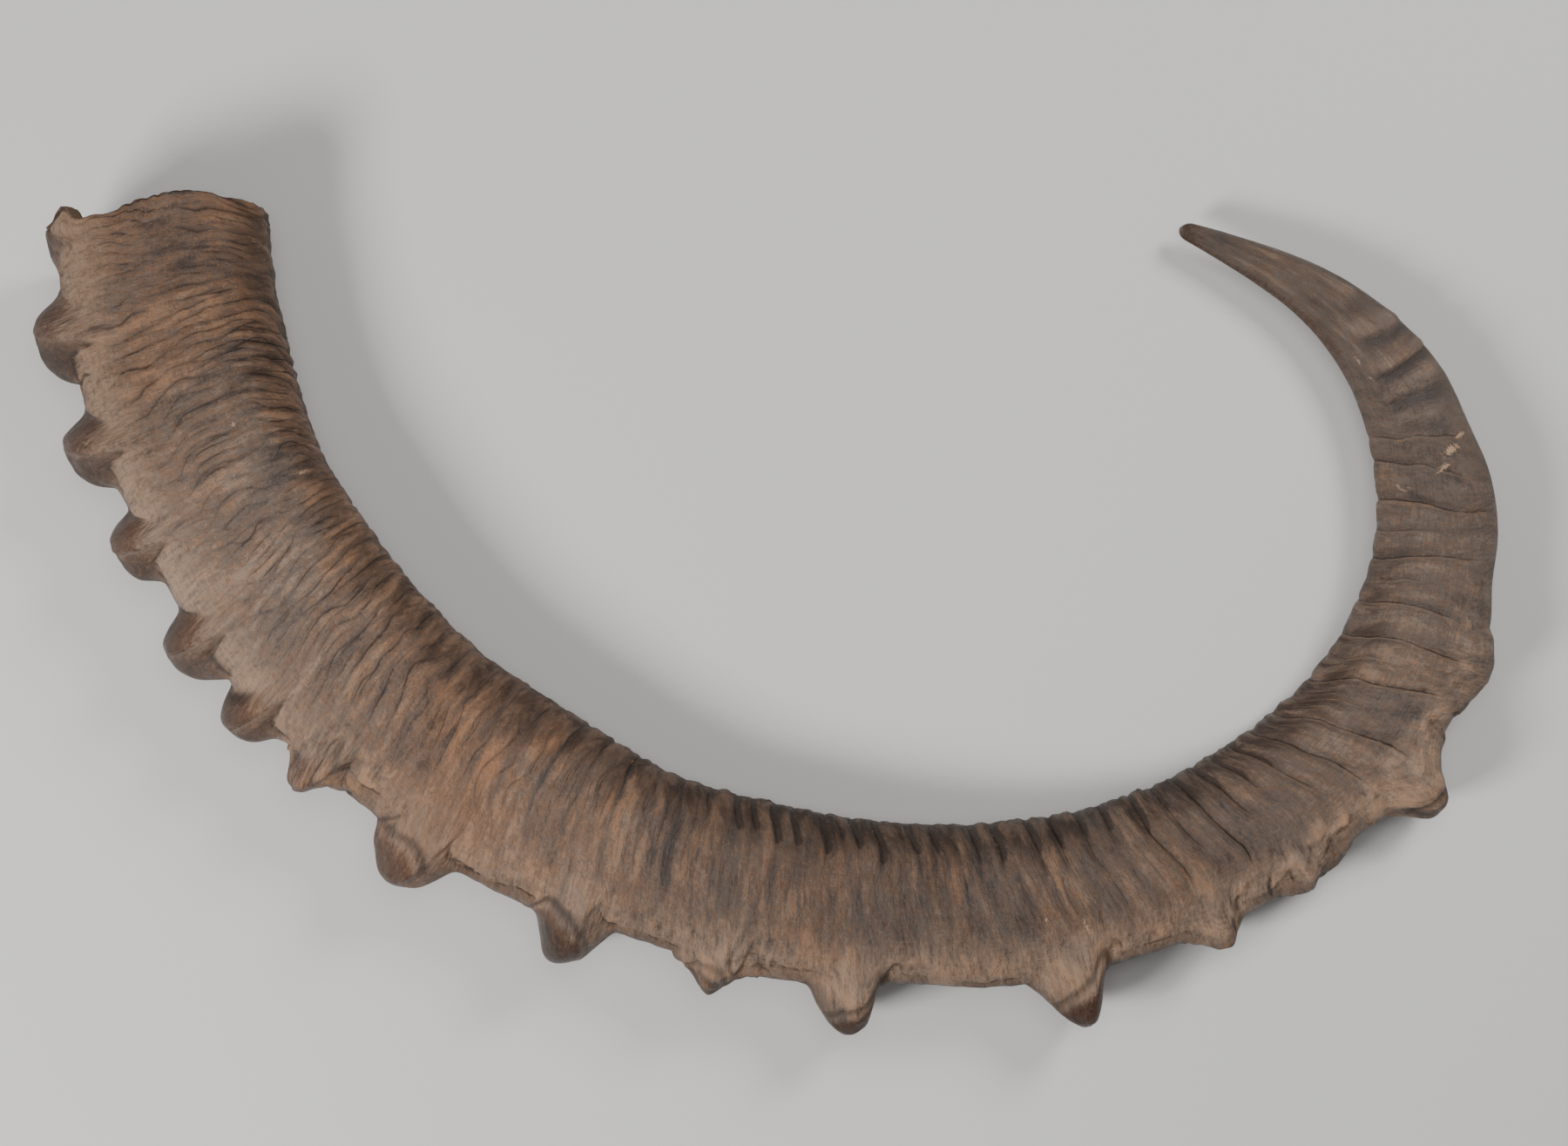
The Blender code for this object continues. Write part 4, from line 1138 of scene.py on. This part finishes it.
def horn_colour(n, at, by):
    """The base colour with its painted light and shade, and the creases, steps and splits that the bump
    deepens.
    """
    part = {name: n.spread(getattr(by, name), size) for name, size in TONE.items()}
    tone = n.times(n.plus(part["streaks"], part["thin"]), n.ranged("streaks on steps", at.stepped))
    tone = n.plus(tone, part["patches"], part["mottle"])
    tone = n.times(tone, n.ranged("tone at tip", at.sleek))
    tone = n.plus(tone, n.times(part["lengthwise"], at.sleek))
    tone = n.plus(tone, n.times(part["fibres"], n.ranged("fibres on steps", at.stepped)))
    # painted shade in the relief's hollows and painted light on its crests
    tone = n.plus(tone, part["speckle"], n.times(at.relief, RELIEF_SHADING))
    warmth = n.plus(n.spread(by.broad, BROAD_WARMTH), n.spread(by.hue, HUE_WARMTH))
    warmth = n.plus(at.warm, n.plus(warmth, n.times(at.relief, WARM_RELIEF)))
    dark, middle, light = [n.mix(warmth, COOL[name], WARM[name]) for name in COOL]
    colour = n.mix(n.ranged("lighter", tone), middle, light)
    colour = n.mix(n.ranged("darker", tone), colour, dark)
    high = n.plus(at.relief, n.spread(by.thin, HIGH_THIN))
    patch = n.times(n.ranged("orange streaks", by.streaks), n.ranged("orange crests", high))
    colour = n.lay(colour, ORANGE, at.ochre, n.times(patch, STRENGTH["orange"]))
    # painted shade where the relief is lowest
    colour = n.mix(n.ranged("dark lows", high), colour, DARK_BROWN)

    # blue-grey hollows between the rings, partly painted shade, and painted shade in the flutes
    hollow = n.stripe("slate_and_shade", at.ring, at.ring_gap, n.spread(by.patches, SLATE_RAGGED))
    hollow = n.times(hollow, at.slate_and_shade, n.ranged("slate streaks", by.streaks))
    colour = n.lay(colour, SLATE_AND_SHADE, n.math("MAXIMUM", hollow, at.flute), STRENGTH["slate_and_shade"])
    ragged = n.spread(by.mottle, RAGGED)
    # dark crease lines, with painted shade along one side of each
    wide = n.times(n.stripe("wide fold", at.fold, WIDE_FOLD, ragged), at.fold_share)
    close = n.times(n.stripe("close fold", at.close, CLOSE_FOLD, ragged), at.close_share)
    creases = n.times(n.math("MAXIMUM", wide, close), n.ranged("crease breaks", by.patches))
    colour = n.lay(colour, DARK_BROWN, creases, STRENGTH["crease"])

    blotch = n.plus(*(n.spread(getattr(by, name), size) for name, size in BLOTCH.items()))
    # the pale band along the front edge, partly painted light
    colour = n.lay(colour, PALE_AND_HIGHLIGHT_BEIGE, at.pale_band_and_light, n.ranged("band blotches", blotch))
    # painted shade on the knobs' lobes and where the skin turns under between them
    colour = n.lay(colour, LOBE_AND_UNDER_SHADE, at.lobe_and_under_shade, n.ranged("lobe mottle", by.mottle))
    colour = n.lay(colour, DARK_BROWN, at.dark, n.ranged("dark patches", by.patches))
    nose_share = n.times(at.nose, n.ranged("nose mottle", by.mottle))
    horny = n.mix(n.ranged("knuckle", nose_share), AMBER, KNUCKLE)
    colour = n.mix(n.ranged("nose", nose_share), colour, horny)
    # the lightness carries painted shade on the keel and noses and painted light on the band and ribs
    colour = n.mix(1.0, colour, at.lightness, "MULTIPLY")

    flecks = n.times(n.ranged("fleck grains", by.speckle), n.ranged("fleck patches", by.mottle))
    fleck_share = n.plus(n.times(at.warm, WARM_FLECKS), at.ochre, LEAST_FLECKS)
    colour = n.lay(colour, ORANGE, flecks, n.math("MINIMUM", fleck_share, 1.0))
    colour = n.mix(n.ranged("dark grains", by.speckle), colour, DARK_BROWN)
    chunk = n.stripe("wedge", at.ring, at.ring_gap, n.spread(by.mottle, WEDGE_RAGGED))
    colour = n.mix(n.ranged("wedge", n.times(chunk, at.wedge)), colour, WEDGE)
    shown = n.times(at.ring_line, n.ranged("ring breaks", by.patches))
    # a dark line at each step, painted shade past it and a painted highlight on the lip before it
    steps, shade, lip_highlight = [n.times(n.stripe(name, at.ring, at.ring_gap, ragged), shown)
                         for name in ("step", "shade", "lip_highlight")]
    colour = n.lay(colour, PALE_AND_HIGHLIGHT_BEIGE, lip_highlight, at.stepped, STRENGTH["lip_highlight"])
    colour = n.lay(colour, DARK_BROWN, shade, STRENGTH["shade"])
    colour = n.lay(colour, DARK, steps, STRENGTH["step"])
    off_edge = n.plus(at.edge, n.spread(by.mottle, SPLIT_RAGGED))
    split = n.times(n.ranged("split", n.math("ABSOLUTE", off_edge, 0.0)), at.edge_share)
    split = n.times(split, n.ranged("split breaks", by.patches))
    # painted shade past the split, where the skin turns under the front edge
    shade_past_split = n.times(n.ranged("past split", off_edge), at.edge_share)
    colour = n.lay(colour, DARK_BROWN, shade_past_split, STRENGTH["past split"])
    colour = n.lay(colour, DARK, split, STRENGTH["split"])
    colour = n.lay(colour, ORANGE, lip_highlight, n.ranged("lip chips", by.hue), STRENGTH["lip chip"])
    chipped = n.plus(n.spread(by.mottle, CHIP_MOTTLE), n.spread(by.speckle, CHIP_SPECKLE))
    colour = n.mix(n.ranged("chips", n.plus(at.chip, chipped)), colour, CREAM)
    colour = n.mix(n.ranged("crack", at.crack), colour, DARK)
    # dark lines of painted shade in the knobs' creases and grooves, at their feet and under the keel's
    # edge
    colour = n.mix(n.ranged("line", at.line), colour, DARK)
    return n.mix(at.inside, colour, INSIDE), creases, steps, split


def horn_material():
    """The colour, with its painted light and shade, and the gloss and fine bumps of the keratin."""
    n = Nodes("weathered_horn_with_painted_light")
    grain = n.attribute("grain", "Vector")
    at = SimpleNamespace(**{name: n.attribute(name) for name in MARKS + ["inside"]})
    by = SimpleNamespace(**{name: n.texture(grain, *look) for name, look in TEXTURES.items()})
    colour, creases, steps, split = horn_colour(n, at, by)
    n.put(n.shader.inputs["Base Color"], colour)
    n.put(n.shader.inputs["Specular IOR Level"], SPECULAR)
    rough = n.math("SUBTRACT", n.ranged("roughness", by.patches), n.times(at.nose, GLOSSY_NOSE),
                   n.times(at.sleek, GLOSSY_TIP))
    n.put(n.shader.inputs["Roughness"], n.plus(rough, n.times(at.inside, DULL_INSIDE)))

    even = n.math("MAXIMUM", n.times(at.pale_band_and_light, EVEN_BAND), at.nose, at.lobe_and_under_shade)
    height = n.times(by.soft, n.ranged("bump on even skin", even), n.ranged("bump at tip", at.sleek))
    height = n.plus(height, n.times(by.speckle, SPECKLE_BUMP), n.times(by.mottle, MOTTLE_BUMP))
    deep = n.plus(n.times(creases, CREASE_BUMP), n.times(steps, STEP_BUMP), n.times(split, SPLIT_BUMP))
    height = n.math("SUBTRACT", height, deep)
    bump = n.node("ShaderNodeBump", Height=height, Distance=BUMP_DISTANCE, Strength=1.0)
    n.put(n.shader.inputs["Normal"], bump.outputs["Normal"])
    return n.material


def make_floor():
    """A pale floor to lie on, which isn't part of the object."""
    mesh = bpy.data.meshes.new("floor")
    corners = [(FLOOR_REACH * x, FLOOR_REACH * y, 0) for x, y in ((-1, -1), (1, -1), (1, 1), (-1, 1))]
    mesh.from_pydata(corners, [], [(0, 1, 2, 3)])
    n = Nodes("floor")
    n.put(n.shader.inputs["Base Color"], FLOOR_COLOUR)
    n.put(n.shader.inputs["Roughness"], FLOOR_ROUGHNESS)
    mesh.materials.append(n.material)
    floor = add("floor", mesh)


def soft_light(name, place, size, power):
    """A square light that shines towards the origin."""
    data = bpy.data.lights.new(name, "AREA")
    data.size = size
    data.energy = power
    light = add(name, data)
    light.location = place
    light.rotation_mode = "QUATERNION"
    light.rotation_quaternion = (-Vector(place)).to_track_quat("-Z", "Y")
    light.visible_camera = False


def make_camera():
    """A camera that looks straight down."""
    data = bpy.data.cameras.new("camera")
    data.sensor_width = SENSOR_WIDTH
    data.lens = LENS
    data.clip_start = CLIP_START
    camera = add("camera", data)
    camera.location = CAMERA_AT
    camera.rotation_euler = (0.0, 0.0, 0.0)
    bpy.context.scene.camera = camera


def make_world():
    """A dim sky, the same all round."""
    world = bpy.data.worlds.new("studio")
    world.use_nodes = True
    sky = world.node_tree.nodes["Background"]
    sky.inputs["Color"].default_value = SKY_COLOUR
    sky.inputs["Strength"].default_value = SKY_STRENGTH
    bpy.context.scene.world = world


horn = make_horn()
horn.data.materials.append(horn_material())
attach(horn, "root")
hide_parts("horn")

make_floor()
make_camera()
make_world()
for light in LIGHTS:
    soft_light(*light)
